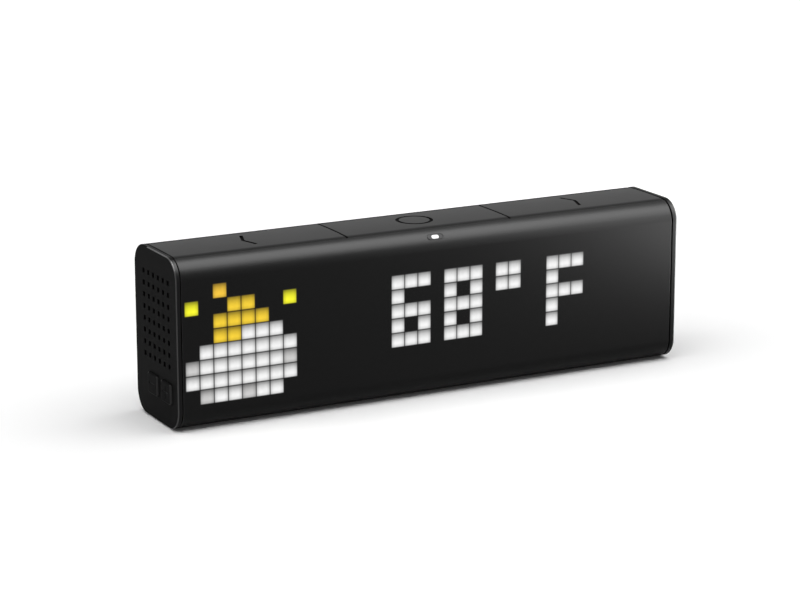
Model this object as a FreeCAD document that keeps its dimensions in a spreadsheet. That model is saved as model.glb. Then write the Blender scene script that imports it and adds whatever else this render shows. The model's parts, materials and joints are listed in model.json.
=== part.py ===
import FreeCAD, Part
import math
import os
import Sketcher

# A desk clock with a wide field of lit pixels, built as an assembly of separate pieces.
# X runs along the front from left to right, Y from the front to the back, and Z is up.
# The origin is at the middle of the footprint, on the surface that the foot pads stand on.
# All lengths are in millimetres.

Vector = FreeCAD.Vector

# Driving dimensions: the name of the cell, its value, and what it measures.
SIZES = (
    # Case
    ("body_length", 197.0, "length of the case between the end caps"),
    ("body_depth", 36.0, "depth of the case from front to back"),
    ("body_height", 60.6, "height of the case without its feet"),
    ("corner_radius", 7.8, "radius of the four long edges of the case"),
    ("shell_wall", 2.0, "wall of the front cover and of the rear housing"),
    ("shell_joint", 0.1, "joint between the front cover and the rear housing"),
    ("cover_wrap", 15.0, "how far the front cover reaches back under the case"),
    ("edge_bevel", 0.25, "small bevel on outer edges beside a seam"),
    ("seam_gap", 0.4, "groove between the case and each end cap"),
    ("seam_depth", 0.8, "depth of that groove"),
    ("cap_band", 1.6, "thickness of each end cap"),
    ("cap_rim_bevel", 0.4, "bevel on the outer rim of each end cap"),
    ("collar_width", 2.2, "width of the collar that closes the groove"),
    ("running_gap", 0.2, "gap around a key or a post that slides"),
    ("seat_gap", 0.1, "gap between fixed pieces that slip together"),
    # Row of three buttons on the top
    ("strip_width", 24.8, "width between the middles of the seams beside the buttons"),
    ("key_gap", 0.5, "seam around each button"),
    ("divider_place", 32.8, "distance from the middle to the seam between two buttons"),
    ("button_travel", 0.4, "travel of every button and key"),
    ("button_wall", 2.0, "thickness of a button's top"),
    ("button_skirt", 1.2, "thickness of a button's skirt"),
    ("button_depth", 3.3, "height of a button from its top to the end of its skirt"),
    ("button_bevel", 0.35, "bevel on the outer edges of a button"),
    ("post_radius", 2.0, "radius of the post under a button, at its corners"),
    ("hook_length", 5.0, "length of a button's hook along the case"),
    ("hook_thickness", 1.2, "thickness of a hook's leg"),
    ("hook_barb", 0.6, "how far a hook's barb stands out"),
    ("barb_height", 0.7, "height of a hook's barb"),
    ("hook_reach", 18.0, "distance of a hook from the middle of its button"),
    ("hook_line", 9.8, "distance of a hook's outer face from the middle plane"),
    # Deck under the buttons
    ("deck_drop", 5.3, "distance from the top of the case down to the deck"),
    ("deck_thickness", 1.5, "thickness of the deck"),
    ("deck_width", 30.0, "width of the deck from front to back"),
    ("deck_inset", 0.6, "distance from the end of the case to the end of the deck"),
    ("ear_width", 8.0, "width of an ear of the front cover"),
    ("ear_thickness", 1.2, "thickness of an ear of the front cover"),
    ("ear_reach", 11.4, "how far an ear reaches back from the front face"),
    ("ear_inner", 9.0, "distance of the inner ears from the middle"),
    ("ear_outer", 75.0, "distance of the outer ears from the middle"),
    ("ear_screw_line", 9.2, "distance of the ear screws behind the front face"),
    ("ear_screw_length", 3.8, "length of the screws in the ears"),
    # Field of pixels
    ("pixel_pitch", 5.267, "distance between neighbouring pixels"),
    ("pixel_columns", 37, "number of pixels in a row"),
    ("pixel_rows", 8, "number of pixels in a column"),
    ("lattice_wall", 0.667, "wall between two cells of the lattice"),
    ("lattice_rim", 0.4, "extra wall around the outside of the lattice"),
    ("lattice_depth", 6.0, "depth of the lattice"),
    ("diffuser_thickness", 0.4, "thickness of the diffuser sheet"),
    ("board_thickness", 1.6, "thickness of the pixel board"),
    ("ledge_height", 1.0, "height of the ledges that hold the lattice"),
    ("ledge_depth", 4.0, "depth of the ledges that hold the lattice"),
    # Inner frame
    ("frame_plate", 2.5, "thickness of the inner frame"),
    ("frame_half", 90.5, "distance from the middle to the end of the inner frame"),
    ("frame_floor", 3.0, "distance from the inside of the case floor to the frame"),
    ("frame_rib", 6.0, "width of the frame around its windows"),
    ("frame_windows", 5, "number of windows in the inner frame"),
    ("frame_rear_gap", 0.4, "gap between the frame's end plates and the rear wall"),
    ("arm_width", 8.0, "width of the arms under the rear screws"),
    ("deck_post_place", 86.5, "distance from the middle to the deck screws"),
    ("deck_post_front", 3.4, "distance of the front deck screws before the middle plane"),
    ("deck_post_rear", 6.0, "distance of the rear deck screws behind the middle plane"),
    ("deck_post_length", 8.0, "length of the frame's posts for the deck screws"),
    ("deck_screw_length", 8.0, "length of the deck screws"),
    ("lead_hole", 2.0, "radius of the holes for the leads"),
    # Screws and feet
    ("screw_sides", 6, "number of sides of a screw, a post or a hole for them"),
    ("screw_shank", 1.0, "radius of a screw's shank at its corners"),
    ("screw_head", 1.9, "radius of a screw's head at its corners"),
    ("head_height", 1.3, "height of a screw's head"),
    ("screw_gap", 0.1, "gap around a screw's shank"),
    ("post_wall", 1.2, "wall of a screw post around its hole"),
    ("case_screw_place", 60.0, "distance from the middle to the case screws"),
    ("case_screw_length", 6.0, "length of the case screws"),
    ("board_screw_length", 5.5, "length of the screws in the small boards"),
    ("cap_screw_length", 8.0, "length of the screws in the end caps"),
    ("foot_length", 150.0, "length of a foot pad"),
    ("foot_width", 4.6, "width of a foot pad"),
    ("foot_line", 7.0, "distance of the foot pads from the middle plane"),
    ("foot_proud", 0.4, "how far the foot pads stand proud"),
    ("foot_sunk", 0.6, "depth of the recess for a foot pad"),
    # Grilles and loudspeakers
    ("grille_pitch", 4.214, "distance between the holes of a grille"),
    ("grille_hole", 1.7, "side of a grille hole"),
    ("grille_columns", 6, "number of holes across a grille"),
    ("grille_rows", 8, "number of holes up a grille"),
    ("grille_front", 6.58, "distance from the front face to the first column of holes"),
    ("grille_top", 8.97, "distance from the top of the case to the first row of holes"),
    ("mesh_thickness", 0.3, "thickness of the dust mesh"),
    ("mesh_margin", 0.5, "how far the dust mesh reaches past the holes"),
    ("gasket_thickness", 1.0, "thickness of a loudspeaker's foam gasket"),
    ("gasket_width", 2.0, "width of a loudspeaker's foam gasket"),
    ("speaker_width", 16.0, "width of a loudspeaker"),
    ("speaker_height", 26.0, "height of a loudspeaker"),
    ("speaker_rim", 1.2, "thickness of a loudspeaker's rim"),
    ("basket_depth", 2.4, "depth of a loudspeaker's basket behind its rim"),
    ("basket_inset", 0.8, "distance from the edge of the rim to the basket"),
    ("cone_inset", 1.8, "distance from the edge of the rim to the cone"),
    ("cone_depth", 1.8, "depth of a loudspeaker's cone"),
    ("cone_sheet", 0.6, "thickness of a loudspeaker's cone"),
    ("cone_slope", 40.0, "slope of a loudspeaker's cone in degrees"),
    ("magnet_radius", 5.0, "radius of a loudspeaker's magnet"),
    ("magnet_sides", 12, "number of sides that stand for the magnet's round"),
    ("magnet_depth", 1.9, "thickness of a loudspeaker's magnet"),
    ("speaker_line", 2.0, "distance of the loudspeakers behind the middle plane"),
    # Keys in the end caps
    ("key_width", 8.3, "width of a key in an end cap"),
    ("key_height", 7.9, "height of a key in an end cap"),
    ("key_proud", 0.8, "how far a key stands out of its end cap"),
    ("key_bevel", 0.35, "bevel on the outer edges of a key"),
    ("key_front", 4.8, "distance from the front face to the first key"),
    ("key_pitch", 11.7, "distance between the two volume keys"),
    ("key_drop", 13.7, "distance from the middle of the case down to the keys"),
    ("flange_margin", 0.8, "how far a key's flange reaches past the key"),
    ("flange_thickness", 0.6, "thickness of a key's flange"),
    ("flange_pocket", 0.8, "depth of the pocket for a key's flange"),
    ("key_post_radius", 1.2, "radius of the post behind a key"),
    ("key_post_inset", 1.0, "distance from a key's rear edge to its post"),
    # Posts and tongues of the end caps
    ("cap_post_line", 13.4, "distance of the cap posts behind the middle plane"),
    ("cap_post_low", 10.8, "height of the lower cap post"),
    ("cap_post_high", 48.0, "height of the upper cap post"),
    ("pilot_depth", 6.0, "depth of a blind screw hole"),
    ("tongue_length", 5.0, "length of a locating tongue"),
    ("tongue_thickness", 1.6, "thickness of a locating tongue"),
    ("tongue_width", 16.0, "width of a locating tongue"),
    # Switches
    ("switch_drop", 0.7, "distance from the underside of the deck to the switches"),
    ("switch_side", 6.0, "side of a top switch"),
    ("switch_height", 3.5, "height of a top switch"),
    ("plunger_radius", 1.7, "radius of a top switch's plunger"),
    ("plunger_proud", 0.6, "how far a plunger stands out of its switch"),
    ("plunger_sunk", 0.75, "how far a plunger reaches into its switch at rest"),
    ("plunger_gap", 0.1, "gap around a plunger"),
    ("side_switch_width", 3.0, "width of a side switch"),
    ("side_switch_height", 4.0, "height of a side switch"),
    ("side_switch_depth", 1.6, "depth of a side switch"),
    ("side_plunger_radius", 0.8, "radius of a side switch's plunger"),
    ("side_plunger_proud", 0.8, "how far a side plunger stands out of its switch"),
    ("side_plunger_sunk", 0.45, "how far a side plunger reaches into its switch"),
    # Small boards
    ("small_board", 1.2, "thickness of the main board and of the button board"),
    ("side_board", 1.0, "thickness of the boards behind the keys"),
    ("button_board_half", 73.0, "half the length of the button board"),
    ("button_board_front", 5.0, "reach of the button board before the middle plane"),
    ("button_board_rear", 7.0, "reach of the button board behind the middle plane"),
    ("board_post_inner", 10.0, "distance from the middle to the inner board posts"),
    ("board_post_outer", 54.0, "distance from the middle to the outer board posts"),
    ("board_post_line", 4.0, "distance of the board posts behind the middle plane"),
    ("side_board_place", 95.4, "distance from the middle to the outer face of a side board"),
    ("side_board_front", 7.6, "reach of a side board before the middle plane"),
    ("side_board_rear", 8.4, "reach of a side board behind the middle plane"),
    ("side_board_height", 9.8, "height of a side board"),
    ("side_post_spread", 5.4, "distance between the two posts of a side board"),
    ("main_board_half", 55.0, "half the length of the main board"),
    ("main_board_front", 3.0, "reach of the main board before the middle plane"),
    ("main_board_rear", 15.0, "reach of the main board behind the middle plane"),
    ("main_board_low", 11.5, "height of the underside of the main board"),
    ("main_post_place", 46.0, "distance from the middle to the main board screws"),
    ("main_post_front", 1.0, "distance of the front board posts behind the middle plane"),
    ("main_post_rear", 12.0, "distance of the rear board posts behind the middle plane"),
    ("shield_length", 22.0, "length of the processor's shield"),
    ("shield_width", 15.0, "width of the processor's shield"),
    ("shield_height", 2.2, "height of the processor's shield"),
    ("shield_place", 16.0, "distance of the shield to the left of the middle"),
    ("module_length", 16.0, "length of the wireless module"),
    ("module_width", 11.0, "width of the wireless module"),
    ("module_height", 1.8, "height of the wireless module"),
    ("module_place", 16.0, "distance of the wireless module to the right of the middle"),
    ("component_line", 5.0, "distance of shield and module behind the middle plane"),
    # Power inlet
    ("inlet_width", 7.6, "width of the power inlet"),
    ("inlet_height", 2.6, "height of the power inlet"),
    ("inlet_depth", 5.2, "depth of the power inlet"),
    ("inlet_wall", 0.3, "wall of the power inlet's shell"),
    ("inlet_margin", 0.4, "margin of the opening around the power inlet"),
    ("inlet_round", 0.8, "corner radius of the opening for the power inlet"),
    ("recess_depth", 1.0, "depth of the recess around the power inlet"),
    ("recess_margin", 1.8, "margin of that recess around the power inlet"),
    ("contact_sheet", 0.7, "thickness of the contact tongue in the inlet"),
    ("contact_inset", 1.0, "distance from the inlet's sides to the contact tongue"),
    # Light sensor
    ("sensor_angle", 40.0, "angle of the sensor window on the front's upper round"),
    ("sensor_length", 6.4, "length of the sensor window"),
    ("sensor_width", 2.2, "width of the sensor window"),
    ("sensor_gap", 0.05, "gap around the sensor window"),
    ("sensor_chip_length", 2.4, "length of the light sensor"),
    ("sensor_chip_width", 1.6, "width of the light sensor"),
    ("sensor_chip_depth", 0.8, "depth of the light sensor"),
    # Ribbons, leads and what they plug into
    ("ribbon_width", 10.0, "width of a ribbon cable"),
    ("ribbon_thickness", 0.3, "thickness of a ribbon cable"),
    ("ribbon_place", 36.0, "distance from the middle to the ribbon cables"),
    ("ribbon_bow", 3.4, "how far the button ribbon bows to the rear"),
    ("socket_width", 14.0, "width of a ribbon socket"),
    ("socket_height", 3.0, "height of a ribbon socket"),
    ("socket_depth", 2.3, "depth of a ribbon socket"),
    ("display_socket_low", 18.5, "height of the ribbon socket on the pixel board"),
    ("display_socket_line", 1.0, "distance of the display socket before the middle plane"),
    ("button_socket_line", 4.0, "distance of the button sockets behind the middle plane"),
    ("lead_radius", 0.6, "radius of a lead"),
    ("lead_rise", 20.6, "height of the loudspeaker leads behind the end plates"),
    ("lead_line", 6.4, "distance of the side board leads behind the middle plane"),
    ("lead_socket_length", 5.0, "length of a lead socket"),
    ("lead_socket_width", 10.0, "width of a lead socket"),
    ("lead_socket_line", 4.0, "distance of the lead sockets behind the middle plane"),
    ("lead_socket_height", 2.8, "height of a lead socket"),
)

document = FreeCAD.newDocument("pixel_clock")
sheet = document.addObject("Spreadsheet::Sheet", "sizes")
for row, (alias, amount, meaning) in enumerate(SIZES, start=1):
    sheet.set(f"A{row}", meaning)
    sheet.set(f"B{row}", str(amount))
    sheet.setAlias(f"B{row}", alias)
document.recompute()

# Places that several pieces share, as expressions on the sheet.
TOP = "(sizes.foot_proud + sizes.body_height)"
MIDDLE = "(sizes.foot_proud + sizes.body_height / 2)"
FRONT = "(-sizes.body_depth / 2)"
BACK = "(sizes.body_depth / 2)"
CASE_END = "(sizes.body_length / 2)"
CAP_INNER = f"({CASE_END} + sizes.seam_gap)"
CAP_OUTER = f"({CAP_INNER} + sizes.cap_band)"
INSIDE_FLOOR = "(sizes.foot_proud + sizes.shell_wall)"
INSIDE_FRONT = f"({FRONT} + sizes.shell_wall)"
INSIDE_BACK = f"({BACK} - sizes.shell_wall)"
STRIP_CASE = "((sizes.strip_width + sizes.key_gap) / 2)"
STRIP_BUTTON = "((sizes.strip_width - sizes.key_gap) / 2)"
COVER_END = f"({FRONT} + sizes.cover_wrap)"
DECK_TOP = f"({TOP} - sizes.deck_drop)"
DECK_LOW = f"({DECK_TOP} - sizes.deck_thickness)"
LATTICE_FRONT = f"({INSIDE_FRONT} + sizes.diffuser_thickness)"
BOARD_FRONT = f"({LATTICE_FRONT} + sizes.lattice_depth)"
BOARD_REAR = f"({BOARD_FRONT} + sizes.board_thickness)"
LATTICE_LENGTH = "(sizes.pixel_pitch * sizes.pixel_columns + 2 * sizes.lattice_rim)"
LATTICE_HEIGHT = "(sizes.pixel_pitch * sizes.pixel_rows + 2 * sizes.lattice_rim)"
LATTICE_LOW = f"({MIDDLE} - {LATTICE_HEIGHT} / 2)"
LATTICE_HIGH = f"({MIDDLE} + {LATTICE_HEIGHT} / 2)"
FRAME_LOW = f"({INSIDE_FLOOR} + sizes.frame_floor)"
FRAME_REAR = f"({BOARD_REAR} + sizes.frame_plate)"
END_PLATE = "(sizes.frame_half - sizes.frame_plate)"
BUTTON_LOW = f"({TOP} - sizes.button_depth)"
BUTTON_INNER = f"({TOP} - sizes.button_wall)"
BUTTON_START = "(sizes.divider_place + sizes.key_gap / 2)"
BUTTON_END = f"({CAP_INNER} - sizes.key_gap)"
SIDE_BUTTON = f"(({BUTTON_START} + {BUTTON_END}) / 2)"
SWITCH_TOP = f"({DECK_LOW} - sizes.switch_drop)"
BUTTON_BOARD_TOP = f"({SWITCH_TOP} - sizes.switch_height)"
KEY_LOW = f"({MIDDLE} - sizes.key_drop - sizes.key_height)"
KEY_MIDDLE = f"({KEY_LOW} + sizes.key_height / 2)"
FIRST_KEY = f"({FRONT} + sizes.key_front)"
SECOND_KEY = f"({FIRST_KEY} + sizes.key_pitch)"
FLANGE_OUTER = f"({CAP_INNER} + sizes.flange_pocket - sizes.running_gap)"
FLANGE_INNER = f"({FLANGE_OUTER} - sizes.flange_thickness)"
SIDE_SWITCH_TOP = "(sizes.side_board_place + sizes.side_switch_depth)"
GRILLE_FRONT = f"({FRONT} + sizes.grille_front)"
GRILLE_REAR = f"({GRILLE_FRONT} + sizes.grille_pitch * (sizes.grille_columns - 1))"
GRILLE_HIGH = f"({TOP} - sizes.grille_top)"
GRILLE_LOW = f"({GRILLE_HIGH} - sizes.grille_pitch * (sizes.grille_rows - 1))"
MESH_REACH = "(sizes.grille_hole / 2 + sizes.mesh_margin)"
MESH_INNER = f"({CAP_INNER} - sizes.mesh_thickness)"
SPEAKER_FACE = f"({MESH_INNER} - sizes.gasket_thickness)"
SPEAKER_LOW = f"(({GRILLE_HIGH} + {GRILLE_LOW} - sizes.speaker_height) / 2)"
SPEAKER_FRONT = "(sizes.speaker_line - sizes.speaker_width / 2)"
BASKET_REAR = f"({SPEAKER_FACE} - sizes.speaker_rim - sizes.basket_depth)"
MAIN_BOARD_TOP = "(sizes.main_board_low + sizes.small_board)"
SIDE_BOARD_LOW = f"({KEY_MIDDLE} - sizes.side_board_height / 2)"
SCREW_HOLE = "(sizes.screw_shank + sizes.screw_gap)"
SCREW_POST = f"({SCREW_HOLE} + sizes.post_wall)"
HEAD_HOLE = "(sizes.screw_head + sizes.running_gap)"
HEAD_POST = f"({HEAD_HOLE} + sizes.post_wall)"
FOOT_SEAT = "(sizes.foot_proud + sizes.foot_sunk)"

LEFT, RIGHT = -1, 1

# How near two places must lie to be the same place, and the least volume that counts.
SAME_PLACE = 1e-3
LEAST_VOLUME = 1e-6

# Shares of a cable's run that its bends take up, and where its bends lie along its way.
BEND_SHARE, END_BEND_SHARE = 0.45, 0.8
BOW_PLACES = (0.15, 0.35, 0.65, 0.85)
NEAR_BEND, FAR_BEND = 0.2, 0.55

TURNS = {"x": FreeCAD.Rotation(Vector(1, 1, 1), 120), "z": FreeCAD.Rotation()}
PLANES = {"x": "YZ_Plane", "y": "XZ_Plane", "z": "XY_Plane"}

nodes = []


def value(text):
    """The number that an expression on the sheet stands for now."""
    return float(sheet.evalExpression(text))


def node(piece, name):
    """Give a finished piece its own name and put it on the list to be written."""
    piece.Label = name
    nodes.append(piece)
    return piece


def new_body(name):
    """A new body for one piece, on the list under its own name."""
    return node(document.addObject("PartDesign::Body", name), name)


def new_sketch(body, name, axis, across, up, level):
    """Sketch square to an axis, its own origin moved by three bound distances.

    Square to X the sketch runs along Y and Z, square to Y along X and Z,
    and square to Z along X and Y.
    """
    sketch = body.newObject("Sketcher::SketchObject", name)
    plane = next(part for part in body.Origin.OriginFeatures if part.Role == PLANES[axis])
    sketch.AttachmentSupport = [(plane, "")]
    sketch.MapMode = "FlatFace"
    out_of_plane = f"-({level})" if axis == "y" else level
    for key, text in zip("xyz", (across, up, out_of_plane)):
        sketch.setExpression(f"AttachmentOffset.Base.{key}", text)
    return sketch


def fix(sketch, name, kind, *args):
    """Add a constraint with a value and bind that value to an expression."""
    *places, text = args
    index = sketch.addConstraint(Sketcher.Constraint(kind, *places, value(text)))
    sketch.renameConstraint(index, name)
    sketch.setExpression(f"Constraints.{name}", text)


def rectangle(sketch, wide, tall):
    """Rectangle with its lower left corner at the sketch's own origin."""
    w, t = value(wide), value(tall)
    corners = [Vector(0, 0), Vector(w, 0), Vector(w, t), Vector(0, t)]
    for i in range(4):
        sketch.addGeometry(Part.LineSegment(corners[i], corners[(i + 1) % 4]), False)
    for i in range(4):
        sketch.addConstraint(Sketcher.Constraint("Coincident", i, 2, (i + 1) % 4, 1))
    for i in (0, 2):
        sketch.addConstraint(Sketcher.Constraint("Horizontal", i))
        sketch.addConstraint(Sketcher.Constraint("Vertical", i + 1))
    sketch.addConstraint(Sketcher.Constraint("Coincident", 0, 1, -1, 1))
    fix(sketch, "wide", "DistanceX", 0, 1, 0, 2, wide)
    fix(sketch, "tall", "DistanceY", 1, 1, 1, 2, tall)
    return sketch


def rounded_rectangle(sketch, wide, tall, radius):
    """Rectangle with round corners that touches the axes of the sketch."""
    w, t, r = value(wide), value(tall), value(radius)
    lines = (
        (Vector(r, 0), Vector(w - r, 0)),
        (Vector(w, r), Vector(w, t - r)),
        (Vector(w - r, t), Vector(r, t)),
        (Vector(0, t - r), Vector(0, r)),
    )
    centres = (Vector(w - r, r), Vector(w - r, t - r), Vector(r, t - r), Vector(r, r))
    quarter = math.pi / 2
    for start, end in lines:
        sketch.addGeometry(Part.LineSegment(start, end), False)
    for i, centre in enumerate(centres):
        circle = Part.Circle(centre, Vector(0, 0, 1), r)
        sketch.addGeometry(Part.ArcOfCircle(circle, (i - 1) * quarter, i * quarter), False)
    for i in range(4):
        sketch.addConstraint(Sketcher.Constraint("Tangent", i, 2, i + 4, 1))
        sketch.addConstraint(Sketcher.Constraint("Tangent", i + 4, 2, (i + 1) % 4, 1))
    for i in (0, 2):
        sketch.addConstraint(Sketcher.Constraint("Horizontal", i))
        sketch.addConstraint(Sketcher.Constraint("Vertical", i + 1))
    for i in (5, 6, 7):
        sketch.addConstraint(Sketcher.Constraint("Equal", 4, i))
    sketch.addConstraint(Sketcher.Constraint("PointOnObject", 0, 1, -1))
    sketch.addConstraint(Sketcher.Constraint("PointOnObject", 3, 1, -2))
    fix(sketch, "corner", "Radius", 4, radius)
    fix(sketch, "wide", "DistanceX", 3, 1, 1, 1, wide)
    fix(sketch, "tall", "DistanceY", 0, 1, 2, 1, tall)
    return sketch


def slot(sketch, long, wide):
    """Slot with round ends, its middle at the sketch's own origin."""
    half, r = (value(long) - value(wide)) / 2, value(wide) / 2
    quarter = math.pi / 2
    sketch.addGeometry(Part.LineSegment(Vector(-half, -r), Vector(half, -r)), False)
    sketch.addGeometry(Part.LineSegment(Vector(half, r), Vector(-half, r)), False)
    for place, turn in ((half, -quarter), (-half, quarter)):
        circle = Part.Circle(Vector(place, 0), Vector(0, 0, 1), r)
        sketch.addGeometry(Part.ArcOfCircle(circle, turn, turn + 2 * quarter), False)
    for first, then in ((0, 2), (2, 1), (1, 3), (3, 0)):
        sketch.addConstraint(Sketcher.Constraint("Tangent", first, 2, then, 1))
    sketch.addConstraint(Sketcher.Constraint("Horizontal", 0))
    sketch.addConstraint(Sketcher.Constraint("Symmetric", 2, 3, 3, 3, -1, 1))
    fix(sketch, "round", "Radius", 2, f"({wide}) / 2")
    fix(sketch, "reach", "DistanceX", 3, 3, 2, 3, f"({long}) - ({wide})")
    return sketch


def hexagon(sketch, radius):
    """Hexagon around the sketch's own origin, with two corners on its level axis."""
    r = value(radius)
    corners = [Vector(r * math.cos(math.radians(a)), r * math.sin(math.radians(a)))
               for a in range(0, 360, 60)]
    for i in range(6):
        sketch.addGeometry(Part.LineSegment(corners[i], corners[(i + 1) % 6]), False)
    rim = sketch.addGeometry(Part.Circle(Vector(0, 0), Vector(0, 0, 1), r), True)
    for i in range(6):
        sketch.addConstraint(Sketcher.Constraint("Coincident", i, 2, (i + 1) % 6, 1))
        sketch.addConstraint(Sketcher.Constraint("PointOnObject", i, 1, rim))
    for i in range(1, 6):
        sketch.addConstraint(Sketcher.Constraint("Equal", 0, i))
    sketch.addConstraint(Sketcher.Constraint("Coincident", rim, 3, -1, 1))
    sketch.addConstraint(Sketcher.Constraint("PointOnObject", 0, 1, -1))
    fix(sketch, "round", "Radius", rim, radius)
    return sketch


def pad(body, sketch, length, forwards=True, both_ways=False):
    """Extrude a sketch along its plane's direction, or against it, or both ways."""
    feature = body.newObject("PartDesign::Pad", f"{sketch.Name}_pad")
    feature.Profile = (sketch, [""])
    feature.setExpression("Length", length)
    feature.Reversed = not forwards
    if both_ways:
        feature.SideType = "Symmetric"
    return feature


def pocket(body, sketch, length=None, forwards=False):
    """Cut a sketch out against its plane's direction, along it, or right through."""
    feature = body.newObject("PartDesign::Pocket", f"{sketch.Name}_cut")
    feature.Profile = (sketch, [""])
    if length is None:
        feature.Type = "ThroughAll"
        feature.SideType = "Symmetric"
    else:
        feature.setExpression("Length", length)
        feature.Reversed = forwards
    feature.Refine = False
    return feature


def repeat(body, feature, sketch, across=None, up=None):
    """Repeat a feature along one or both directions of its sketch.

    Each direction is a pair: the number of copies and the distance over all of them.
    """
    pattern = body.newObject("PartDesign::LinearPattern", f"{feature.Name}_row")
    pattern.Originals = [feature]
    pattern.Refine = False
    directions = [(axis, pair) for axis, pair in (("H_Axis", across), ("V_Axis", up)) if pair]
    for suffix, (axis, (count, length)) in zip(("", "2"), directions):
        setattr(pattern, f"Direction{suffix}", (sketch, [axis]))
        pattern.setExpression(f"Occurrences{suffix}", count)
        pattern.setExpression(f"Length{suffix}", length)
    body.Tip = pattern
    return pattern


def mirror(body, name, features):
    """Repeat features of the left half in the right half."""
    mirrored = body.newObject("PartDesign::Mirrored", name)
    mirrored.Originals = features
    middle = next(part for part in body.Origin.OriginFeatures if part.Role == PLANES["x"])
    mirrored.MirrorPlane = (middle, [""])
    mirrored.Refine = False
    body.Tip = mirrored
    return mirrored


def case_section(sketch, inset):
    """The outline of the case, square to X, drawn in by an inset."""
    return rounded_rectangle(
        sketch,
        f"sizes.body_depth - 2 * ({inset})",
        f"sizes.body_height - 2 * ({inset})",
        f"sizes.corner_radius - ({inset})",
    )


def section_sketch(body, name, level, inset="0"):
    """A sketch of the outline of the case at a place along X."""
    low = f"sizes.foot_proud + ({inset})"
    return case_section(new_sketch(body, name, "x", f"{FRONT} + ({inset})", low, level), inset)


def slice_away(body, name, y_range, z_range):
    """Cut a rectangle, square to X, right along a piece."""
    (front, rear), (low, high) = y_range, z_range
    sketch = new_sketch(body, name, "x", front, low, "0")
    rectangle(sketch, f"({rear}) - ({front})", f"({high}) - ({low})")
    return pocket(body, sketch)


def bevel_edges(body, name, size, test):
    """Bevel the edges of a body's shape that a test picks out."""
    document.recompute()
    base = body.Tip
    names = [f"Edge{i}" for i, edge in enumerate(base.Shape.Edges, start=1) if test(edge)]
    if not names:
        raise ValueError(f"{name} found no edges")
    feature = body.newObject("PartDesign::Chamfer", name)
    feature.Base = (base, names)
    feature.setExpression("Size", size)
    return feature


def lies_at(edge, axis, place):
    """Whether an edge lies in the plane at a place along an axis."""
    box = edge.BoundBox
    low, high = {"x": (box.XMin, box.XMax), "y": (box.YMin, box.YMax),
                 "z": (box.ZMin, box.ZMax)}[axis]
    return abs(low - place) < SAME_PLACE and abs(high - place) < SAME_PLACE


def box(name, x_range, y_range, z_range):
    """Block between two bound places along each axis."""
    block = document.addObject("Part::Box", name)
    sides = zip(("Length", "Width", "Height"), "xyz", (x_range, y_range, z_range))
    for side, axis, (low, high) in sides:
        block.setExpression(side, f"({high}) - ({low})")
        block.setExpression(f"Placement.Base.{axis}", low)
    return block


def rod(name, axis, centre, radius, low, high, sides="sizes.screw_sides"):
    """Bar with flat sides; the centre gives the places along the other two axes."""
    bar = document.addObject("Part::Prism", name)
    bar.Placement = FreeCAD.Placement(Vector(0, 0, 0), TURNS[axis])
    places = list(centre)
    places.insert("xyz".index(axis), low)
    for key, text in zip("xyz", places):
        bar.setExpression(f"Placement.Base.{key}", text)
    bar.setExpression("Polygon", sides)
    bar.setExpression("Circumradius", radius)
    bar.setExpression("Height", f"({high}) - ({low})")
    return bar


def tapered(name, side, faces):
    """Block between two rectangles square to X, each a place, a Y range and a Z range."""
    block = document.addObject("Part::Wedge", name)
    block.Placement = FreeCAD.Placement(Vector(0, 0, 0), TURNS["x"].inverted())
    if side == LEFT:
        faces = faces[::-1]
    for (place, y_range, z_range), along, across, up in zip(
            faces, ("Ymin", "Ymax"), ("Z", "Z2"), ("X", "X2")):
        block.setExpression(along, at_side(side, place))
        for end, (y_text, z_text) in zip(("min", "max"), zip(y_range, z_range)):
            block.setExpression(f"{across}{end}", y_text)
            block.setExpression(f"{up}{end}", z_text)
    return block


def cut(name, base, tool):
    """One solid less another."""
    result = document.addObject("Part::Cut", name)
    result.Base, result.Tool = base, tool
    return result


def fuse(name, shapes):
    """Several solids joined to one."""
    result = document.addObject("Part::MultiFuse", name)
    result.Shapes = shapes
    return result


def group(name, shapes):
    """Several solids that stay apart in one node."""
    result = document.addObject("Part::Compound", name)
    result.Links = shapes
    return node(result, name)


def on_side(side, near, far):
    """The range along X between two distances from the middle, on one side."""
    return (near, far) if side == RIGHT else (f"-({far})", f"-({near})")


def at_side(side, place):
    """A place along X at a distance from the middle, on one side."""
    return place if side == RIGHT else f"-({place})"


def between(middle, size):
    """The range of a size around a middle."""
    return f"({middle}) - ({size}) / 2", f"({middle}) + ({size}) / 2"


def screw(name, axis, centre, seat, length, head_up=True):
    """Screw with its head on a seat; the head points along the axis or against it."""
    head_end = f"({seat}) + sizes.head_height" if head_up else f"({seat}) - sizes.head_height"
    tip = f"({seat}) - ({length})" if head_up else f"({seat}) + ({length})"
    head_range, shank_range = ((seat, head_end), (tip, seat)) if head_up else (
        (head_end, seat), (seat, tip))
    head = rod(f"{name}_head", axis, centre, "sizes.screw_head", *head_range)
    shank = rod(f"{name}_shank", axis, centre, "sizes.screw_shank", *shank_range)
    return fuse(name, [head, shank])


def post(body, name, axis, across, up, level, radius, length, forwards=True):
    """Six-sided post on a body, from a level along an axis."""
    return pad(body, hexagon(new_sketch(body, name, axis, across, up, level), radius),
               length, forwards)


def bore(body, name, axis, across, up, level, radius, length=None, forwards=False):
    """Six-sided hole in a body, from a level along an axis, or right through."""
    return pocket(body, hexagon(new_sketch(body, name, axis, across, up, level), radius),
                  length, forwards)


def block_on(body, name, axis, across, up, level, length, forwards=True):
    """Rectangular block on a body; across and up are ranges in the sketch's plane."""
    sketch = new_sketch(body, name, axis, across[0], up[0], level)
    rectangle(sketch, f"({across[1]}) - ({across[0]})", f"({up[1]}) - ({up[0]})")
    return pad(body, sketch, length, forwards), sketch


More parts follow.
